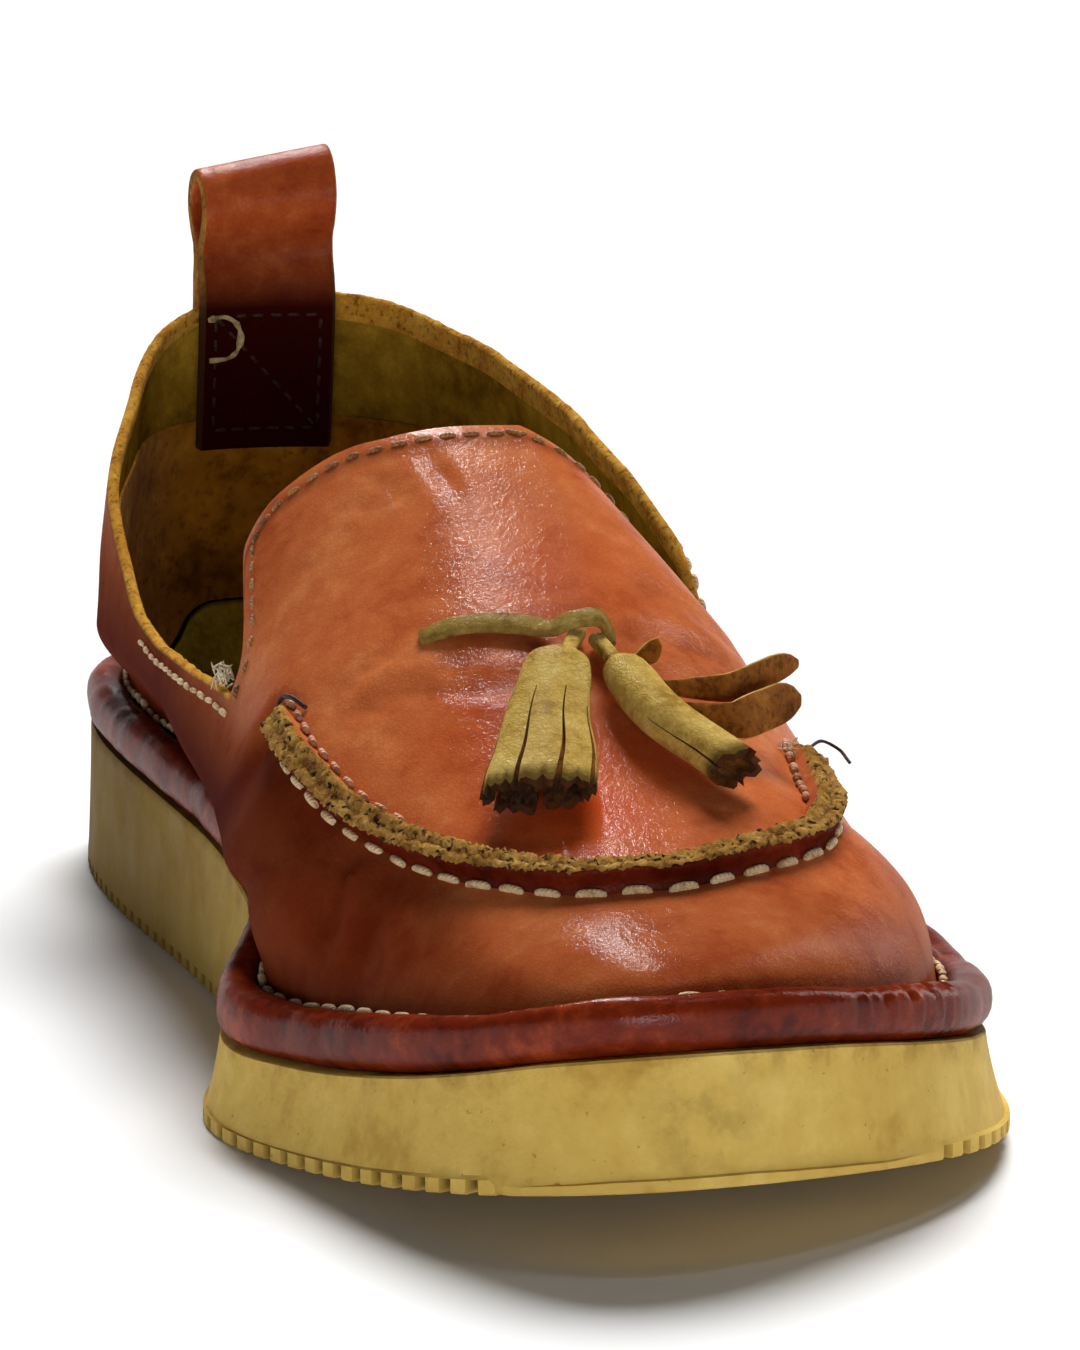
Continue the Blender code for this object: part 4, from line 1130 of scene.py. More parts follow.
# Section of the ridge from the apron's foot over the raw edges to the vamp's foot.
SEAM_SECTION = (
    # across, up, frayed
    (-2.5, -0.5, 0.0),
    (-2.2, 0.6, 0.0),
    (-2.05, 1.6, 0.0),
    (-2.1, 2.5, 0.3),
    (-1.9, 3.3, 1.0),
    (-1.4, 3.65, 1.0),
    (-0.8, 3.6, 1.0),
    (-0.3, 3.5, 1.0),
    (0.1, 3.35, 1.0),
    (0.5, 3.5, 1.0),
    (1.1, 3.8, 1.0),
    (1.7, 3.85, 1.0),
    (2.25, 3.5, 0.8),
    (2.35, 2.9, 0.3),
    (2.15, 2.0, 0.0),
    (2.15, 1.0, 0.0),
    (2.5, 0.1, 0.0),
    (2.9, -0.5, 0.0),
)
FIRST_RAW, GAP_ROW, LAST_RAW = 3, 8, 12
FRAY = 0.34
RAGGED = 0.25
END_HEIGHT = 0.55
END_RUN = 5.0
GAP_SHADE = 0.3


def on_last(share, angle):
    """Places on the upper with the directions along, across and out of it."""
    place = last_point(share, angle)
    upward = last_normal(share, angle)
    run = np.gradient(place, axis=0)
    run -= upward * np.sum(run * upward, axis=1)[:, None]
    run /= np.linalg.norm(run, axis=1)[:, None]
    return place, run, np.cross(run, upward), upward


def spaced_on_last(rows, pitch, first=0.0, last=1.0):
    """Shares and angles at equal distances along a line of way, share and angle rows."""
    way = np.linspace(first, last, LINE_SAMPLES)
    share = read_table(rows, 1, way)
    angle = np.radians(read_table(rows, 2, way))
    steps = np.linalg.norm(np.diff(last_point(share, angle), axis=0), axis=1)
    run = np.append(0.0, np.cumsum(steps))
    at = np.linspace(0.0, run[-1], max(2, int(round(run[-1] / pitch)) + 1))
    return np.interp(at, run, share), np.interp(at, run, angle)


def close_ends(rows):
    """A bar's rows, the last one on the first, with each end drawn together to its middle."""
    rows = np.array(rows)
    ends = [np.repeat(rows[:-1, end].mean(axis=0)[None, None], len(rows), axis=0) for end in (0, -1)]
    return np.concatenate([ends[0], rows, ends[1]], axis=1)


ridge_edge = suede(
    "raw seam edge", tones=((214, 172, 96), (178, 130, 58), (126, 80, 26)), fleck=(40, 20, 4), patch=300.0,
    fibre=1300.0, relief=0.9, flecked=1.0,
)
# The vamp's face of the ridge, a dark copy of the tan leather: painted shade.
shaded_ridge_face = leather(
    "ridge face in painted shade", tones=((120, 44, 22), (90, 26, 10), (60, 12, 4)), shaded=(30, 5, 1), warm=(110, 30, 10),
    patch=60.0, grain=1000.0, relief=0.4, coat=0.08,
)
place, run, aside, upward = on_last(*spaced_on_last(SEAM_LINE, SEAM_PITCH))
steps = len(place)
fray = np.random.default_rng(21).uniform(-1.0, 1.0, (len(SEAM_SECTION), steps, 2)) * FRAY
ragged = soft_noise(steps, 70, 3) * RAGGED
from_end = np.minimum(np.arange(steps), np.arange(steps)[::-1]) * SEAM_PITCH
taper = END_HEIGHT + (1.0 - END_HEIGHT) * ease(from_end / END_RUN)
ridge_rows = []
for number, (across, up, frayed) in enumerate(SEAM_SECTION):
    side_shift = across + frayed * fray[number, :, 0]
    rise = (up + frayed * (fray[number, :, 1] + ragged)) * np.where(up > 0.0, taper, 1.0)
    ridge_rows.append(place + aside * side_shift[:, None] + upward * rise[:, None])
ridge_points = close_ends(ridge_rows + ridge_rows[:1])
CUT_FACE, VAMP_FACE, APRON_FACE = 0, 1, 2
which = np.full((len(ridge_points) - 1, ridge_points.shape[1] - 1), VAMP_FACE)
which[:FIRST_RAW] = APRON_FACE
which[FIRST_RAW:LAST_RAW] = CUT_FACE
# The groove between the two raw edges is painted with shade.
gap_shade = np.zeros(ridge_points.shape[:2])
gap_shade[GAP_ROW] = GAP_SHADE
apron_ridge = shaped_grid(
    "apron_ridge",
    ridge_points,
    [ridge_edge, shaded_ridge_face, tan_leather],
    which=which,
    marks={"shade": gap_shade},
    sharp=80.0,
)
ride_root(apron_ridge, "raw_edge_leather", "seam_ridge")

# Stitching
# Waxed cream thread: long stitches along the foot of the apron seam, finer ones round the tongue and the
# throat, and a row in the groove between the welt and the upper.
STITCH_SIDES = 8
STITCH_RINGS = 7
STITCH_FULL = 0.45
STITCH_BOW = 0.35
STITCH_ASKEW = 0.05
TWIST_PITCH = 9.0


def stitch_shape():
    """One stitch, 1 long and 1 thick: a ball drawn out, with its ends turned down into the leather."""
    deselect()
    bpy.ops.mesh.primitive_uv_sphere_add(segments=STITCH_SIDES, ring_count=STITCH_RINGS, radius=0.5)
    ball = bpy.context.object
    points = np.array([vertex.co for vertex in ball.data.vertices])
    faces = [tuple(face.vertices) for face in ball.data.polygons]
    bpy.data.objects.remove(ball, do_unlink=True)
    along = points[:, 2]
    fullness = np.sqrt(np.clip(1.0 - (2.0 * along) ** 2, 0.0, 1.0))
    wider = np.where(fullness > 0.0, fullness ** STITCH_FULL / np.maximum(fullness, MERGE), 1.0)
    bow = STITCH_BOW * (2.0 * along) ** 4
    return np.column_stack([along, points[:, 0] * wider, points[:, 1] * wider - bow]), faces


STITCH_POINTS, STITCH_FACES = stitch_shape()


def thread(name, light, middle, dark):
    """Twisted thread: fine diagonal strands, darker in the grooves between them."""
    material, tree, shader, where = blank_material(name)
    base = mottled(tree, where, 260.0, (light, middle, dark))
    twist = math_node(tree, "SINE", mark_value(tree, "twist"))
    base = mix(tree, ramp(tree, twist, -1.0, 0.2, 0.45, 0.0), base, colour(*dark))
    tree.links.new(base, shader.inputs["Base Color"])
    shader.inputs["Roughness"].default_value = 0.6
    bump(tree, shader, twist, 0.5, 0.12)
    return material


def stitches(name, places, runs, ups, length, thick, material, slot, seed):
    """A row of stitches joined into one piece, each a little longer, thicker or askew than the next."""
    rng = np.random.default_rng(seed)
    count = len(places)
    runs = runs + rng.normal(0.0, STITCH_ASKEW, (count, 3))
    runs /= np.linalg.norm(runs, axis=1)[:, None]
    sides = np.cross(ups, runs)
    sides /= np.linalg.norm(sides, axis=1)[:, None]
    ups = np.cross(runs, sides)
    long = length * rng.uniform(0.86, 1.08, count)
    wide = thick * rng.uniform(0.88, 1.12, count)
    shape = STITCH_POINTS
    points = places[:, None, :]
    for axis, (direction, scale) in enumerate(((runs, long), (sides, wide), (ups, wide))):
        points = points + direction[:, None, :] * (shape[None, :, axis, None] * scale[:, None, None])
    starts = range(0, count * len(shape), len(shape))
    faces = [tuple(start + index for index in face) for start in starts for face in STITCH_FACES]
    mesh = bpy.data.meshes.new(name)
    mesh.from_pydata([tuple(p) for p in (points.reshape(-1, 3) - CENTRE) * MM], [], faces)
    mesh.materials.append(material)
    mesh.shade_smooth()
    strand = np.arctan2(shape[:, 2], shape[:, 1]) * 2.0 + shape[:, 0] * long[:, None] * TWIST_PITCH
    mark = mesh.attributes.new("twist", "FLOAT", "POINT")
    mark.data.foreach_set("value", strand.ravel())
    piece = bpy.data.objects.new(name, mesh)
    bpy.context.scene.collection.objects.link(piece)
    ride_root(piece, slot)


def sew(name, line, first, last, pitch, across, lift, length, thick, material, slot, seed):
    """A row of stitches along a line on the last, moved across it and lifted from the leather."""
    place, run, aside, upward = on_last(*spaced_on_last(line, pitch, first, last))
    stitches(name, place + aside * across + upward * lift, run, upward, length, thick, material, slot, seed)


def edge_line(side, rows):
    """A table of one side's edge with its angles counted over the whole last."""
    return [(way, share, math.degrees(side_angle(side, math.radians(angle)))) for way, share, angle in rows]


cream_thread = thread("cream thread", (244, 222, 180), (226, 198, 150), (160, 122, 76))
pink_thread = thread("tanned thread", (226, 176, 140), (204, 150, 112), (150, 96, 62))
fine_thread = thread("fine thread", (206, 158, 98), (170, 120, 66), (104, 62, 28))

sew(
    "apron_stitches", SEAM_LINE, first=0.01, last=0.99, pitch=5.7, across=2.75, lift=0.4, length=4.4,
    thick=1.3, material=cream_thread, slot="raw_edge_leather", seed=1,
)
for label, first, last in (("inner", 0.0, 0.36), ("outer", 0.83, 1.0)):
    sew(
        "apron_back_stitches_" + label, SEAM_LINE, first, last, pitch=4.6, across=-2.75, lift=0.6,
        length=3.0, thick=1.2, material=pink_thread, slot="raw_edge_leather", seed=2,
    )
for side, rows, label in ((INNER, INNER_TONGUE, "inner"), (OUTER, OUTER_TONGUE, "outer")):
    sew(
        "tongue_stitches_" + label, edge_line(side, rows), first=0.0, last=0.985, pitch=3.7,
        across=side * 2.4, lift=0.12, length=2.7, thick=0.8, material=fine_thread, slot="upper_leather",
        seed=3,
    )
for side, rows, last, label in ((INNER, INNER_COLLAR, 0.28, "inner"), (OUTER, OUTER_COLLAR, 0.2, "outer")):
    sew(
        "throat_stitches_" + label, edge_line(side, rows), first=0.0, last=last, pitch=4.2,
        across=side * 1.9, lift=0.15, length=2.9, thick=0.95, material=cream_thread, slot="upper_leather",
        seed=4,
    )

WELT_STITCH_IN = 6.1
WELT_STITCH_RISE = 7.9
WELT_STITCH_PITCH = 5.2
WELT_STITCH_LENGTH = 4.2
WELT_STITCH_THICK = 1.2
WELT_STITCH_UNEVEN = 0.5
WELT_STITCH_INWARD = 0.5
WELT_STITCH_UPWARD = 0.85
RIM_SAMPLES = 900
# The row sinks behind the bead over the toe, and further on the outer side.
TOE_SINK = 0.35
TOE_SINK_TO = 0.1
OUTER_SINK = 1.0
OUTER_SINK_FROM = 0.03
OUTER_SINK_TO = 0.2
SINK_FADE = 0.06
OUTER_SINK_START = 0.03
along_rim = np.linspace(0.0, 1.0, RIM_SAMPLES)
for side, label in ((INNER, "inner"), (OUTER, "outer")):
    line = rim_at(side, along_rim, WELT_STITCH_IN)
    run_length = np.append(0.0, np.cumsum(np.linalg.norm(np.diff(line, axis=0), axis=1)))
    at = np.arange(WELT_STITCH_PITCH / 2.0, run_length[-1], WELT_STITCH_PITCH)
    row_share = np.interp(at, run_length, along_rim)
    plan = rim_at(side, row_share, WELT_STITCH_IN)
    uneven = soft_noise(len(plan), 26, 40 + side) * WELT_STITCH_UNEVEN
    uneven -= TOE_SINK * (1.0 - ease((row_share - TOE_SINK_TO) / SINK_FADE))
    if side == OUTER:
        sunk = 1.0 - ease((row_share - OUTER_SINK_TO) / SINK_FADE)
        uneven -= OUTER_SINK * sunk * ease((row_share - OUTER_SINK_FROM) / OUTER_SINK_START)
    place = np.column_stack([plan, sole_top(plan[:, 1]) + WELT_STITCH_RISE + uneven])
    run = np.gradient(place, axis=0)
    run /= np.linalg.norm(run, axis=1)[:, None]
    lean_in = rim_at(side, row_share, WELT_STITCH_IN + 1.0) - plan
    ups = np.column_stack([lean_in * WELT_STITCH_INWARD, np.full(len(plan), WELT_STITCH_UPWARD)])
    size = (WELT_STITCH_LENGTH, WELT_STITCH_THICK)
    stitches("welt_stitches_" + label, place, run, ups, *size, cream_thread, "welt_leather", 5)

# Pull loop
# A strap of the same red-brown leather, folded over the heel's collar and sewn down inside and out. It
# stands above the collar as a bow for a finger, a little twisted, with raw ochre edges.
LOOP_WIDTH = 23.7
LOOP_SHIFT = -1.5
LOOP_THICKNESS = 2.2
LOOP_COLUMNS = 19
LOOP_INNER_CLEARANCE = 0.7
LOOP_OUTER_CLEARANCE = 0.5
LOOP_LEG_LOW = 69.0
LOOP_LEG_HIGH = 96.0
LOOP_LEG_ROWS = 18
LOOP_TOP_CURVE = 0.1
# The strap's inner face folds forward in a lip over the collar. That face is painted with shade below the lip
# and low on the bow, and the lip is kept lighter as painted light on the fold.
LOOP_LIP = 97.6
LOOP_LIP_REACH = 0.8
LOOP_LIP_OUT = 1.1
LOOP_LIP_PAINTED_LIGHT = 0.85
LOOP_PAINTED_SHADE = (
    # height, shade
    (70.0, 1.0),
    (95.5, 1.0),
    (97.0, 0.6),
    (103.0, 0.45),
    (110.0, 0.0),
)
# The standing part: height above the floor and distance behind the loop's middle.
LOOP_BOW = (
    # height, behind
    (99.5, -2.5),
    (103.0, -1.7),
    (106.0, -2.2),
    (109.0, -4.4),
    (113.0, -6.0),
    (116.5, -5.0),
    (118.8, -2.4),
    (119.4, 0.0),
    (118.8, 2.4),
    (116.5, 5.0),
    (113.0, 6.0),
    (109.0, 4.4),
    (106.0, 2.2),
    (103.0, 1.7),
    (99.5, 2.5),
)
LOOP_BOW_ROWS = 44
LOOP_TILT = 0.17
LOOP_EDGE_ROUND = 0.5
HEEL_SEARCH_FROM = 0.84
HEEL_SEARCH_STEPS = 80
HEEL_SLOPE_STEP = 0.5


def heel_back(x, height):
    """From-toe distance of the upper's outer face at the heel, by the distance across and the height."""
    side = INNER if x < 0.0 else OUTER
    share = np.linspace(HEEL_SEARCH_FROM, 1.0, HEEL_SEARCH_STEPS)
    rise = height - float(sole_top(HEEL_Y)) - UPPER_LIFT
    wall = last_point(share, side_angle(side, angle_at_rise(side, share, rise)))
    return float(np.interp(abs(x), np.abs(wall[::-1, 0] - HEEL_X), wall[::-1, 1]))


def loop_leg(x, height, stand):
    """Point of a leg's middle face that follows the heel, stand away from the upper's outer face."""
    y = heel_back(x, height)
    slope = (heel_back(x + math.copysign(HEEL_SLOPE_STEP, x), height) - y) / HEEL_SLOPE_STEP
    return (x + HEEL_X, y + stand * math.hypot(1.0, slope), height)


strap_half = LOOP_THICKNESS / 2.0
leg_inside = -(UPPER_WALL + LOOP_INNER_CLEARANCE + strap_half)
leg_outside = LOOP_OUTER_CLEARANCE + strap_half
leg_heights = np.linspace(LOOP_LEG_LOW, LOOP_LEG_HIGH, LOOP_LEG_ROWS)
loop_x = LOOP_SHIFT + np.linspace(-LOOP_WIDTH / 2.0, LOOP_WIDTH / 2.0, LOOP_COLUMNS)
loop_middle = heel_back(0.0, LOOP_LEG_HIGH) + (leg_inside + leg_outside) / 2.0
loop_top = max(height for height, _ in LOOP_BOW)
loop_bend = np.array([heel_back(x, LOOP_LEG_HIGH) - heel_back(0.0, LOOP_LEG_HIGH) for x in loop_x])
bow_way = [(k / (len(LOOP_BOW) - 1),) + row for k, row in enumerate(LOOP_BOW)]
loop_rows = [[loop_leg(x, height, leg_inside) for x in loop_x] for height in leg_heights]
for way in np.linspace(0.0, 1.0, LOOP_BOW_ROWS):
    height = float(read_table(bow_way, 1, way))
    behind = float(read_table(bow_way, 2, way))
    flat = float(ease((height - LOOP_LEG_HIGH) / (loop_top - LOOP_LEG_HIGH)))
    keep = 1.0 - (1.0 - LOOP_TOP_CURVE) * flat
    high = height + LOOP_TILT * flat * (loop_x - LOOP_SHIFT)
    loop_y = loop_middle + behind + keep * loop_bend
    loop_rows.append(np.column_stack([loop_x + HEEL_X, loop_y, high]))
loop_rows += [[loop_leg(x, height, leg_outside) for x in loop_x] for height in leg_heights[::-1]]
loop_rows = np.array(loop_rows)
inner_face = (np.arange(len(loop_rows)) < LOOP_LEG_ROWS + LOOP_BOW_ROWS // 2)[:, None]
lip = inner_face * np.exp(-((loop_rows[..., 2] - LOOP_LIP) / LOOP_LIP_REACH) ** 2)
loop_rows[..., 1] -= LOOP_LIP_OUT * lip
# Painted shade on the strap's inner face, lifted at the lip by painted light.
loop_painted_shade = np.interp(loop_rows[..., 2], *zip(*LOOP_PAINTED_SHADE)) * (1.0 - LOOP_LIP_PAINTED_LIGHT * lip) * inner_face
loop_leather = leather(
    "loop leather", tones=((196, 102, 52), (168, 74, 34), (130, 48, 20)), shaded=(50, 8, 5),
    warm=(170, 60, 22), patch=45.0, grain=1000.0, relief=0.35, coat=0.16,
)
loop_edge = suede(
    "raw loop edge", tones=((190, 140, 64), (164, 112, 46), (124, 78, 26)), fleck=(70, 40, 10), patch=220.0,
    fibre=1500.0, relief=0.8, flecked=0.6,
)
heel_loop = shaped_grid("heel_loop", loop_rows, [loop_leather, loop_edge], marks={"shade": loop_painted_shade})
strap = heel_loop.modifiers.new("strap", "SOLIDIFY")
strap.thickness = LOOP_THICKNESS * MM
strap.offset = 0.0
strap.material_offset_rim = 1
bpy.ops.object.modifier_apply(modifier=strap.name)
rounding = heel_loop.modifiers.new("rounding", "BEVEL")
rounding.width = LOOP_EDGE_ROUND * MM
rounding.segments = 3
rounding.angle_limit = math.radians(60.0)
bpy.ops.object.modifier_apply(modifier=rounding.name)
bpy.ops.object.shade_smooth_by_angle(angle=math.radians(50.0))
ride_root(heel_loop, "loop_leather", "pull_loop")

# The leg is sewn down round a box and across it, through these corners.
LOOP_BOX = (
    # x, height
    (-10.8, 93.0),
    (7.8, 93.0),
    (7.8, 72.5),
    (-10.8, 72.5),
    (-10.8, 93.0),
    (7.8, 72.5),
)
LOOP_STITCH_PITCH = 3.0
LOOP_STITCH_HALF = 0.4
LOOP_STITCH_LIFT = 0.05
LOOP_STITCH_LENGTH = 2.3
LOOP_STITCH_THICK = 0.7
stand_off = leg_inside - strap_half - LOOP_STITCH_LIFT
box_places = []
box_runs = []
for start, end in zip(np.array(LOOP_BOX[:-1]), np.array(LOOP_BOX[1:])):
    length = np.linalg.norm(end - start)
    count = int(length // LOOP_STITCH_PITCH)
    for number in range(count):
        middle = start + (end - start) * (number + 0.5) / count
        nudge = (end - start) * LOOP_STITCH_HALF / length
        first, last = (np.array(loop_leg(*tip, stand_off)) for tip in (middle - nudge, middle + nudge))
        box_places.append((first + last) / 2.0)
        box_runs.append((last - first) / np.linalg.norm(last - first))
box_places, box_runs = np.array(box_places), np.array(box_runs)
box_ups = np.tile(np.array([0.0, -1.0, 0.0]), (len(box_places), 1))
dark_thread = thread("dark thread", (74, 30, 18), (54, 18, 10), (30, 8, 4))
size = (LOOP_STITCH_LENGTH, LOOP_STITCH_THICK)
stitches("loop_stitches", box_places, box_runs, box_ups, *size, dark_thread, "loop_leather", 6)

# Thong
# A flat thong of khaki leather that comes out of a slit in the vamp, arches over the stems of the two
# tassels to hold them, and is tucked in again.
THONG_WIDTH = 3.8
THONG_THICKNESS = 1.5
THONG_STEPS = 90
THONG_WIDE_UNEVEN = 0.06
THONG_THICK_UNEVEN = 0.1
THONG_NARROW = 0.75
THONG_NARROW_TO = 0.08
THONG_LINE = (
    # way, share, angle, lift
    (0.00, 0.369, 68.5, 0.4),
    (0.12, 0.366, 75.1, 1.2),
    (0.26, 0.362, 80.7, 1.2),
    (0.38, 0.356, 85.1, 1.4),
    (0.48, 0.351, 87.2, 2.6),
    (0.57, 0.350, 88.8, 4.0),
    (0.66, 0.350, 90.6, 4.5),
    (0.76, 0.350, 92.4, 4.0),
    (0.88, 0.350, 94.2, 2.4),
    (1.00, 0.350, 95.8, 0.7),
)
BAR_SECTION = 16
BAR_BOXY_ACROSS = 0.55
BAR_BOXY_UP = 0.7
thong_leather = leather(
    "thong leather", tones=((176, 150, 84), (146, 118, 58), (104, 78, 30)), shaded=(44, 28, 8),
    warm=(140, 110, 50), patch=120.0, grain=1100.0, relief=0.4, coat=0.06,
)


def soft_bar(name, path, aside, over, widths, thicknesses, materials):
    """A rounded flat strip along a path; its ends are drawn together and closed. The last material is for
    the cut edges."""
    rows = []
    for number in range(BAR_SECTION + 1):
        turn = 2.0 * math.pi * (number % BAR_SECTION) / BAR_SECTION
        wide = rounded(math.cos(turn), BAR_BOXY_ACROSS) * widths / 2.0
        tall = rounded(math.sin(turn), BAR_BOXY_UP) * thicknesses / 2.0
        rows.append(path + aside * wide[:, None] + over * tall[:, None])
    points = close_ends(rows)
    which = np.zeros((len(points) - 1, points.shape[1] - 1), int)
    which[[0, BAR_SECTION // 2 - 1, BAR_SECTION // 2, BAR_SECTION - 1]] = len(materials) - 1
    return shaped_grid(name, points, materials, which=which, sharp=60.0)


def laid_on_last(line, way):
    """A path over the upper by rows of way, share, angle and lift, with its directions aside and upward."""
    place, _, aside, upward = on_last(read_table(line, 1, way), np.radians(read_table(line, 2, way)))
    return place + upward * read_table(line, 3, way)[:, None], aside, upward


way = np.linspace(0.0, 1.0, THONG_STEPS)
path, aside, upward = laid_on_last(THONG_LINE, way)
over = np.cross(aside, np.gradient(path, axis=0))
over /= np.linalg.norm(over, axis=1)[:, None]
over *= np.sign(np.sum(over * upward, axis=1))[:, None]
narrow_end = THONG_NARROW + (1.0 - THONG_NARROW) * ease(way / THONG_NARROW_TO)
thong_wide = THONG_WIDTH * (1.0 + THONG_WIDE_UNEVEN * soft_noise(THONG_STEPS, 14, 8)) * narrow_end
thong_thick = THONG_THICKNESS * (1.0 + THONG_THICK_UNEVEN * soft_noise(THONG_STEPS, 20, 9))
thong = soft_bar("thong", path, aside, over, thong_wide, thong_thick, [thong_leather])
ride_root(thong, "tassel_leather", "tassel_thong")

# Tassels
# Each is a piece of soft khaki leather, rolled into a head and cut into strips below it. The front one keeps
# its roll and shows two long slits; the side one is a tube, with two strips splayed out past the ridge.
TUBE_HEAD_ROWS = 12
TUBE_HEAD_TO = 0.14
TUBE_ROWS = 28
TUBE_FROM = 0.17
TUBE_COLUMNS = 8
TUBE_BULGE = 0.03
TUBE_BULGES = 5.0
SLIT_LEAD = 0.02
SLIT_OPEN_AT_START = 0.25
# Below this way the end is torn, by up to these shares of the length, and it is darkened with painted shade.
TEAR_FROM = 0.86
TEAR_SHORTEST, TEAR_LONGEST = -0.035, 0.03
DARK_END_FROM = 0.88
DARK_END_RUN = 0.1
END_PAINTED_SHADE = 0.85
FRONT_AXIS = (
    # way, share, angle, lift, half_width, half_thickness
    (0.00, 0.329, 87.0, 4.2, 0.5, 0.6),
    (0.02, 0.327, 86.9, 4.3, 2.6, 1.7),
    (0.06, 0.323, 86.7, 4.4, 4.2, 2.7),
    (0.14, 0.315, 86.1, 4.5, 4.9, 3.2),
    (0.30, 0.300, 84.8, 4.4, 5.4, 3.3),
    (0.50, 0.280, 82.4, 4.3, 6.2, 3.2),
    (0.75, 0.256, 79.3, 4.2, 7.4, 3.2),
    (0.90, 0.241, 76.8, 4.1, 8.0, 3.2),
    (1.00, 0.231, 75.2, 4.0, 8.2, 3.0),
)
FRONT_SLITS = (
    # turn, from_way, opening
    (70.0, 0.36, 0.055),
    (114.0, 0.34, 0.055),
    (22.0, 0.42, 0.08),
    (160.0, 0.40, 0.08),
    (215.0, 0.45, 0.08),
    (270.0, 0.42, 0.08),
    (325.0, 0.45, 0.08),
)
SIDE_AXIS = (
    # way, share, angle, lift, half_width, half_thickness
    (0.00, 0.325, 94.6, 3.9, 0.5, 0.5),
    (0.03, 0.322, 95.0, 4.0, 2.2, 1.8),
    (0.10, 0.316, 95.8, 4.1, 3.4, 2.7),
    (0.25, 0.303, 97.2, 4.3, 3.9, 3.0),
    (0.50, 0.279, 98.8, 4.6, 4.0, 3.1),
    (0.75, 0.259, 101.6, 4.6, 3.9, 3.1),
    (1.00, 0.242, 104.6, 4.4, 4.2, 3.2),
)
SIDE_SLITS = (
    # turn, from_way, opening
    (150.0, 0.3, 0.16),
    (20.0, 0.5, 0.06),
    (250.0, 0.4, 0.08),
)
TASSEL_WALL = 1.3
khaki_leather = leather(
    "khaki leather", tones=((216, 188, 110), (196, 162, 82), (156, 120, 50)), shaded=(52, 32, 8),
    warm=(176, 134, 60), patch=120.0, grain=1100.0, relief=0.5, coat=0.08,
)
suede_khaki = suede(
    "khaki suede", tones=((176, 114, 44), (146, 86, 26), (104, 56, 12)), fleck=(52, 26, 4), patch=160.0,
    fibre=1300.0, relief=0.8, flecked=0.5,
)


def tassel_columns(slits):
    """Columns round the tube from slit to slit, as turn, edge and slit. A slit has two columns at its turn,
    with edge -1 and 1, which draw apart below its start. The first column comes again at the end."""
    ordered = sorted(slits)
    following = [slit[0] for slit in ordered[1:]] + [ordered[0][0] + 360.0]
    columns = []
    for slit, next_turn in zip(ordered, following):
        turns = np.linspace(slit[0], next_turn, TUBE_COLUMNS + 1)[:-1]
        columns += [(slit[0], -1.0, slit), (slit[0], 1.0, slit)]
        columns += [(turn, 0.0, None) for turn in turns[1:]]
    return columns + [(ordered[0][0] + 360.0, -1.0, ordered[0])]


def make_tassel(name, axis, slits, seed, materials, shrink=1.0, reach=1.0):
    """A rolled tube along its axis with its slits cut open and its lower end torn, then given a thickness."""
    columns = tassel_columns(slits)
    head = np.linspace(0.0, TUBE_HEAD_TO, TUBE_HEAD_ROWS)
    way = np.concatenate([head, np.linspace(TUBE_FROM, 1.0, TUBE_ROWS)])
    place, _, aside, upward = on_last(read_table(axis, 1, way), np.radians(read_table(axis, 2, way)))
    stretch = np.gradient(place, axis=0) / np.gradient(way)[:, None]
    centre = place + upward * read_table(axis, 3, way)[:, None]
    half_wide = read_table(axis, 4, way) * shrink
    half_thick = read_table(axis, 5, way) * shrink
    torn_by = np.random.default_rng(seed).uniform(TEAR_SHORTEST, TEAR_LONGEST, len(columns))
    torn_by[-1] = torn_by[0]
    grid = []
    for (turn, edge, slit), torn in zip(columns, torn_by):
        spread = np.zeros(len(way))
        if slit:
            _, start, opening = slit
            wider = (1.0 - SLIT_OPEN_AT_START) * (way - start) / (1.0 - start)
            spread = edge * opening * (SLIT_OPEN_AT_START + wider) * (way > start)
        phi = -(math.radians(turn) + spread)
        bulge = 1.0 + TUBE_BULGE * np.sin(TUBE_BULGES * phi + seed)
        row = centre + aside * (np.cos(phi) * half_wide * bulge)[:, None]
        row = row + upward * (-np.sin(phi) * half_thick * bulge)[:, None]
        tear = ease((way - TEAR_FROM) / (1.0 - TEAR_FROM)) * (torn + reach - 1.0)
        grid.append(row + stretch * tear[:, None])
    grid = np.array(grid).transpose(1, 0, 2)
    which = np.zeros((grid.shape[0] - 1, grid.shape[1] - 1), int)
    for number, (turn, edge, slit) in enumerate(columns[:-1]):
        if edge < 0.0:
            which[way[1:] > slit[1] + SLIT_LEAD, number] = 1
    # Painted shade darkens the torn end.
    end_painted_shade = END_PAINTED_SHADE * ease((way - DARK_END_FROM) / DARK_END_RUN)
    end_painted_shade = np.repeat(end_painted_shade[:, None], grid.shape[1], axis=1)
    piece = shaped_grid(name, grid, materials, which=which, marks={"shade": end_painted_shade}, sharp=60.0)
    piece.active_material_index = 1
    bpy.ops.object.mode_set(mode="EDIT")
    bpy.ops.mesh.select_all(action="DESELECT")
    bpy.ops.object.material_slot_select()
    bpy.ops.mesh.delete(type="ONLY_FACE")
    bpy.ops.object.mode_set(mode="OBJECT")
    wall = piece.modifiers.new("wall", "SOLIDIFY")
    wall.thickness = TASSEL_WALL * MM
    wall.offset = -1.0
    wall.material_offset = 1
    wall.material_offset_rim = 1
    bpy.ops.object.modifier_apply(modifier=wall.name)
    bpy.ops.object.shade_smooth_by_angle(angle=math.radians(50.0))
    return piece


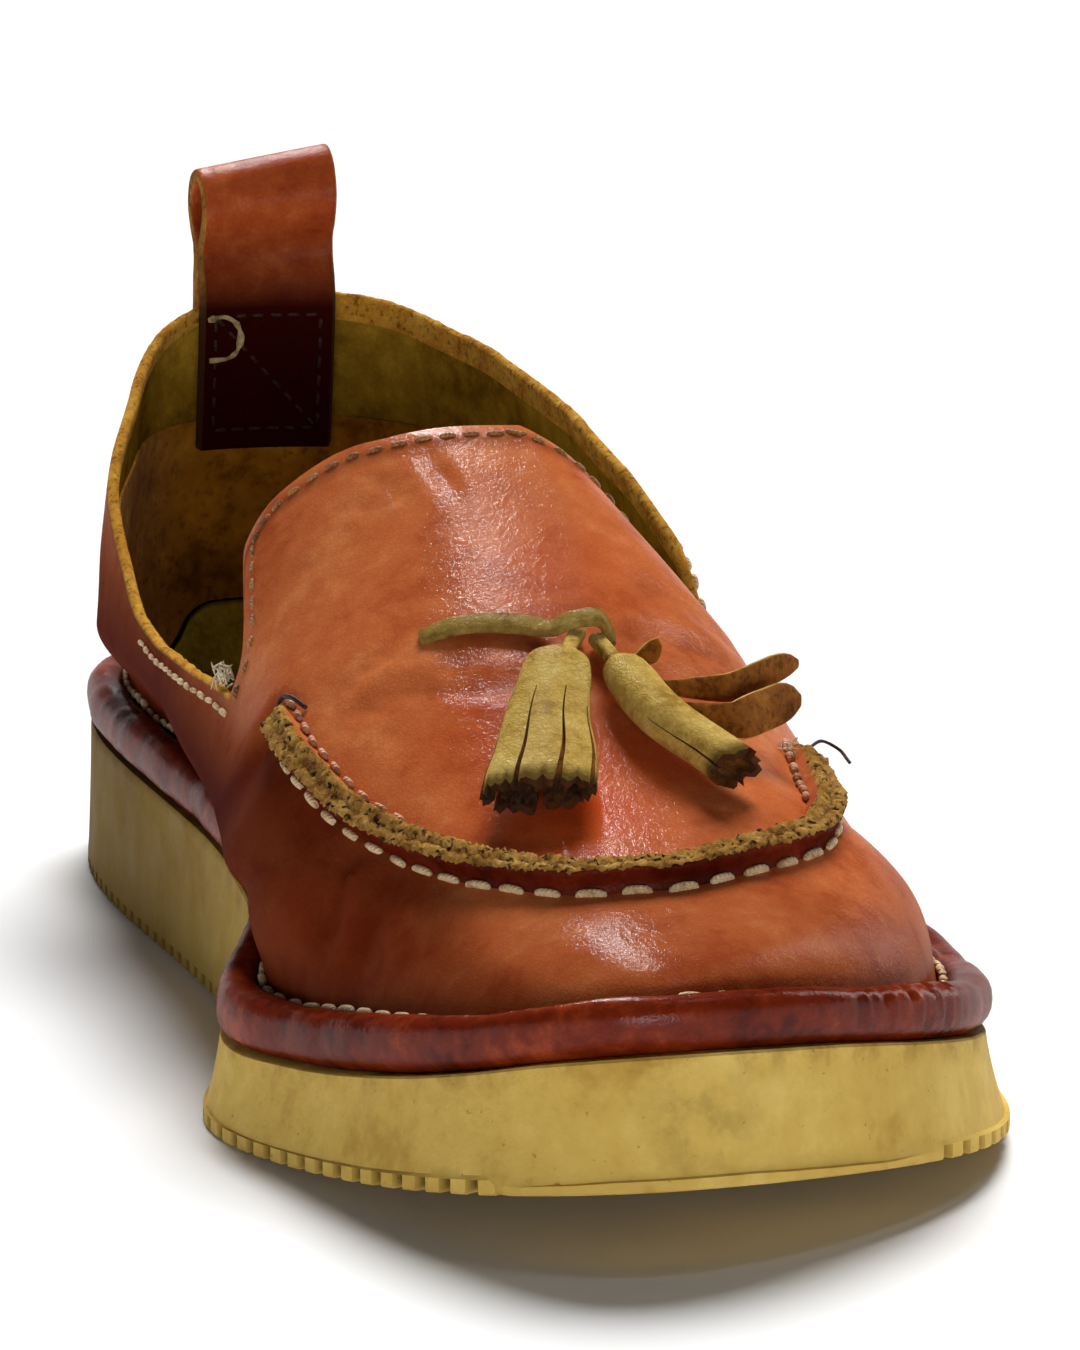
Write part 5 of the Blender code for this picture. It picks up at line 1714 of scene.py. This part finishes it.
front_tassel = make_tassel("front_tassel", FRONT_AXIS, FRONT_SLITS, 4, (khaki_leather, suede_khaki))
ride_root(front_tassel, "tassel_leather", "tassel_front")
front_core = make_tassel(
    "front_tassel_core", FRONT_AXIS, FRONT_SLITS, 5, (suede_khaki, suede_khaki), shrink=0.66, reach=0.985
)
ride_root(front_core, "tassel_leather")
side_tassel = make_tassel("side_tassel", SIDE_AXIS, SIDE_SLITS, 6, (khaki_leather, suede_khaki))
ride_root(side_tassel, "tassel_leather", "tassel_side")

STEMS = (
    # name, width, thickness, line of way, share, angle and lift
    ("front_stem", 2.4, 2.2, ((0.0, 0.350, 89.4, 1.6), (1.0, 0.321, 87.2, 4.3))),
    ("side_stem", 2.4, 2.2, ((0.0, 0.346, 91.6, 1.6), (1.0, 0.318, 95.6, 4.1))),
)
UPPER_PADDLE = (
    # way, share, angle, lift
    (0.0, 0.311, 97.6, 4.8),
    (0.2, 0.303, 102.0, 5.2),
    (0.55, 0.308, 110.8, 6.4),
    (1.0, 0.348, 124.0, 10.4),
)
LOWER_PADDLE = (
    # way, share, angle, lift
    (0.0, 0.300, 97.4, 4.2),
    (0.15, 0.288, 100.0, 4.4),
    (0.5, 0.282, 109.4, 5.4),
    (1.0, 0.322, 124.0, 8.6),
)
STUB = ((0.0, 0.322, 97.2, 4.4), (1.0, 0.325, 101.6, 6.8))
PADDLES = (
    # name, width, thickness, line of way, share, angle and lift
    ("upper_paddle", 4.4, 1.2, UPPER_PADDLE),
    ("lower_paddle", 6.2, 1.2, LOWER_PADDLE),
    ("stub", 3.6, 1.6, STUB),
)
PADDLE_TILT = math.radians(48.0)
PADDLE_ROOT = 0.35
PADDLE_FULL_AT = 0.7
PADDLE_TIP_FROM = 0.86
PADDLE_TIP_RUN = 0.15
BAR_STEPS = 30
bar_way = np.linspace(0.0, 1.0, BAR_STEPS)
rounded_tip = np.sqrt(1.0 - np.clip((bar_way - PADDLE_TIP_FROM) / PADDLE_TIP_RUN, 0.0, 1.0) ** 2)
paddle_shape = (PADDLE_ROOT + (1.0 - PADDLE_ROOT) * ease(bar_way / PADDLE_FULL_AT)) * rounded_tip
for strips, tilt, shape, face in (
    (STEMS, 0.0, np.ones(BAR_STEPS), khaki_leather),
    (PADDLES, PADDLE_TILT, paddle_shape, suede_khaki),
):
    for name, width, thickness, line in strips:
        path, aside, upward = laid_on_last(line, bar_way)
        over = upward * math.cos(tilt) + aside * math.sin(tilt)
        flat = aside * math.cos(tilt) - upward * math.sin(tilt)
        thick = np.full(BAR_STEPS, thickness)
        piece = soft_bar(name, path, flat, over, width * shape, thick, [face, khaki_leather])
        ride_root(piece, "tassel_leather")

# Loose threads
# Where rows of stitches end, tails of thread stand out: dark ones at both ends of the apron seam, a pale
# frayed loop on the leg of the strap, and fluff in the corner between the tongue and the collar.
INNER_TAIL = (
    # way, share, angle, lift
    (0.0, 0.374, 46.6, 0.6),
    (0.3, 0.384, 45.0, 1.8),
    (0.7, 0.392, 42.8, 1.5),
    (1.0, 0.388, 40.6, 0.6),
)
OUTER_TAIL = (
    # way, share, angle, lift
    (0.0, 0.340, 133.0, 2.6),
    (0.4, 0.348, 135.0, 4.6),
    (0.7, 0.343, 137.0, 5.8),
    (1.0, 0.333, 137.5, 6.0),
)
for name, thickness, line in (("inner_tail", 0.7, INNER_TAIL), ("outer_tail", 0.5, OUTER_TAIL)):
    path, aside, upward = laid_on_last(line, bar_way)
    full = np.full(BAR_STEPS, thickness)
    ride_root(soft_bar(name, path, aside, upward, full, full, [dark_thread]), "raw_edge_leather")

FRAYED_LOOP = (
    # way, x, height on the inside leg of the strap
    (0.00, -12.4, 92.6),
    (0.20, -9.5, 93.0),
    (0.38, -7.0, 91.6),
    (0.52, -6.2, 89.3),
    (0.66, -6.8, 86.8),
    (0.82, -9.0, 85.4),
    (1.00, -12.0, 85.3),
)
FRAYED_LIFT = 0.4
FRAYED_FLAT = 0.7
FRAYED_UNEVEN = 0.45
pale_thread = thread("pale thread", (214, 196, 146), (180, 156, 100), (110, 86, 44))
frayed_places = zip(read_table(FRAYED_LOOP, 1, bar_way), read_table(FRAYED_LOOP, 2, bar_way))
stand_off = leg_inside - strap_half - FRAYED_LIFT
path = np.array([loop_leg(x, height, stand_off) for x, height in frayed_places])
forward = np.tile(np.array([0.0, -1.0, 0.0]), (BAR_STEPS, 1))
aside = np.cross(np.gradient(path, axis=0), forward)
aside /= np.linalg.norm(aside, axis=1)[:, None]
frayed_wide = 1.0 + FRAYED_UNEVEN * soft_noise(BAR_STEPS, 16, 12)
frayed = soft_bar("frayed_loop", path, aside, forward, frayed_wide, frayed_wide * FRAYED_FLAT, [pale_thread])
ride_root(frayed, "loop_leather")

FLUFF = (
    # name, share, angle, spread, hairs, length
    ("corner_fluff", 0.474, 30.5, 1.1, 40, 2.4),
    ("seam_fluff", 0.338, 131.0, 1.2, 24, 2.6),
)
FLUFF_SPREAD = np.array([0.6, 1.0, 0.8])
FLUFF_LEAN = np.array([0.0, 0.4, 0.6])
FLUFF_THICKNESS = 0.3
white_thread = thread("white fluff", (250, 240, 220), (236, 222, 192), (190, 168, 128))
for name, share, angle, spread, hairs, length in FLUFF:
    rng = np.random.default_rng(hairs)
    scatter = rng.normal(0.0, spread, (hairs, 3)) * FLUFF_SPREAD
    root = last_point(share, math.radians(angle)) + scatter
    lay = rng.normal(0.0, 1.0, (hairs, 3)) + FLUFF_LEAN
    lay /= np.linalg.norm(lay, axis=1)[:, None]
    over = np.cross(lay, np.array([1.0, 0.0, 0.0]))
    stitches(name, root, lay, over, length, FLUFF_THICKNESS, white_thread, "raw_edge_leather", 9)

# Stage
# A pale floor under soft studio light, with the camera at the photo's angle to the shoe.
FLOOR_SIZE = 14.0
FLOOR_COLOUR = (248, 248, 248)
CAMERA_PLACE = (-0.2217, -0.8397, 0.2136)
CAMERA_AIM = (0.008, -0.002, 0.052)
CAMERA_LENS = 152.0
LIGHT_AIM = (0.0, -0.05, 0.05)
LIGHTS = (
    # name, place, width, height, power, only seen as gloss
    ("front", (-0.25, -1.45, 0.09), 0.6, 0.14, 3.8, False),
    ("overhead", (0.3, -0.22, 1.0), 0.15, 0.15, 0.5, False),
    ("strip", (0.11, 0.88, 0.95), 0.05, 0.9, 11.0, True),
    ("panel", (0.95, 0.4, 0.5), 0.25, 0.8, 3.6, True),
)
SKY_PLACE = (0.24, 0.54, 0.81)
SKY_POWER = 4.1
SKY_SPREAD = 28.0
HORIZON_LOW = 0.12
HORIZON_TOP = 0.2
SKY_TOP_GLOW = 0.05
deselect()
bpy.ops.mesh.primitive_plane_add(size=FLOOR_SIZE)
floor = bpy.context.object
floor.name = "floor"
pale, tree, shader, where = blank_material("pale floor")
shader.inputs["Base Color"].default_value = colour(*FLOOR_COLOUR)
shader.inputs["Roughness"].default_value = 0.9
shader.inputs["Specular IOR Level"].default_value = 0.0
floor.data.materials.append(pale)


def stand(name, data, place, aim):
    """A light or camera at its place, turned to its aim."""
    item = bpy.data.objects.new(name, data)
    bpy.context.scene.collection.objects.link(item)
    item.location = place
    item.rotation_euler = (Vector(aim) - Vector(place)).to_track_quat("-Z", "Y").to_euler()
    return item


for name, place, width, height, power, gloss_only in LIGHTS:
    lamp = bpy.data.lights.new(name, "AREA")
    lamp.shape = "RECTANGLE"
    lamp.size = width
    lamp.size_y = height
    lamp.energy = power
    holder = stand(name, lamp, place, LIGHT_AIM)
    holder.visible_camera = False
    holder.visible_diffuse = not gloss_only

sky = bpy.data.lights.new("sky", "SUN")
sky.energy = SKY_POWER
sky.angle = math.radians(SKY_SPREAD)
stand("sky", sky, SKY_PLACE, (0.0, 0.0, 0.0)).visible_glossy = False

world = bpy.data.worlds.new("soft white")
world.use_nodes = True
sky_tree = world.node_tree
sky_tree.nodes["Background"].inputs["Color"].default_value = (1.0, 1.0, 1.0, 1.0)
direction = shader_node(sky_tree, "ShaderNodeTexCoord").outputs["Generated"]
height = shader_node(sky_tree, "ShaderNodeSeparateXYZ", {"Vector": direction}).outputs["Z"]
glow = ramp(sky_tree, height, HORIZON_TOP, HORIZON_LOW, SKY_TOP_GLOW, 1.0)
sky_tree.links.new(glow, sky_tree.nodes["Background"].inputs["Strength"])
bpy.context.scene.world = world
bpy.context.scene.view_settings.view_transform = "Standard"

camera_data = bpy.data.cameras.new("camera")
camera_data.lens = CAMERA_LENS
camera_data.clip_start = 0.01
bpy.context.scene.camera = stand("camera", camera_data, CAMERA_PLACE, CAMERA_AIM)
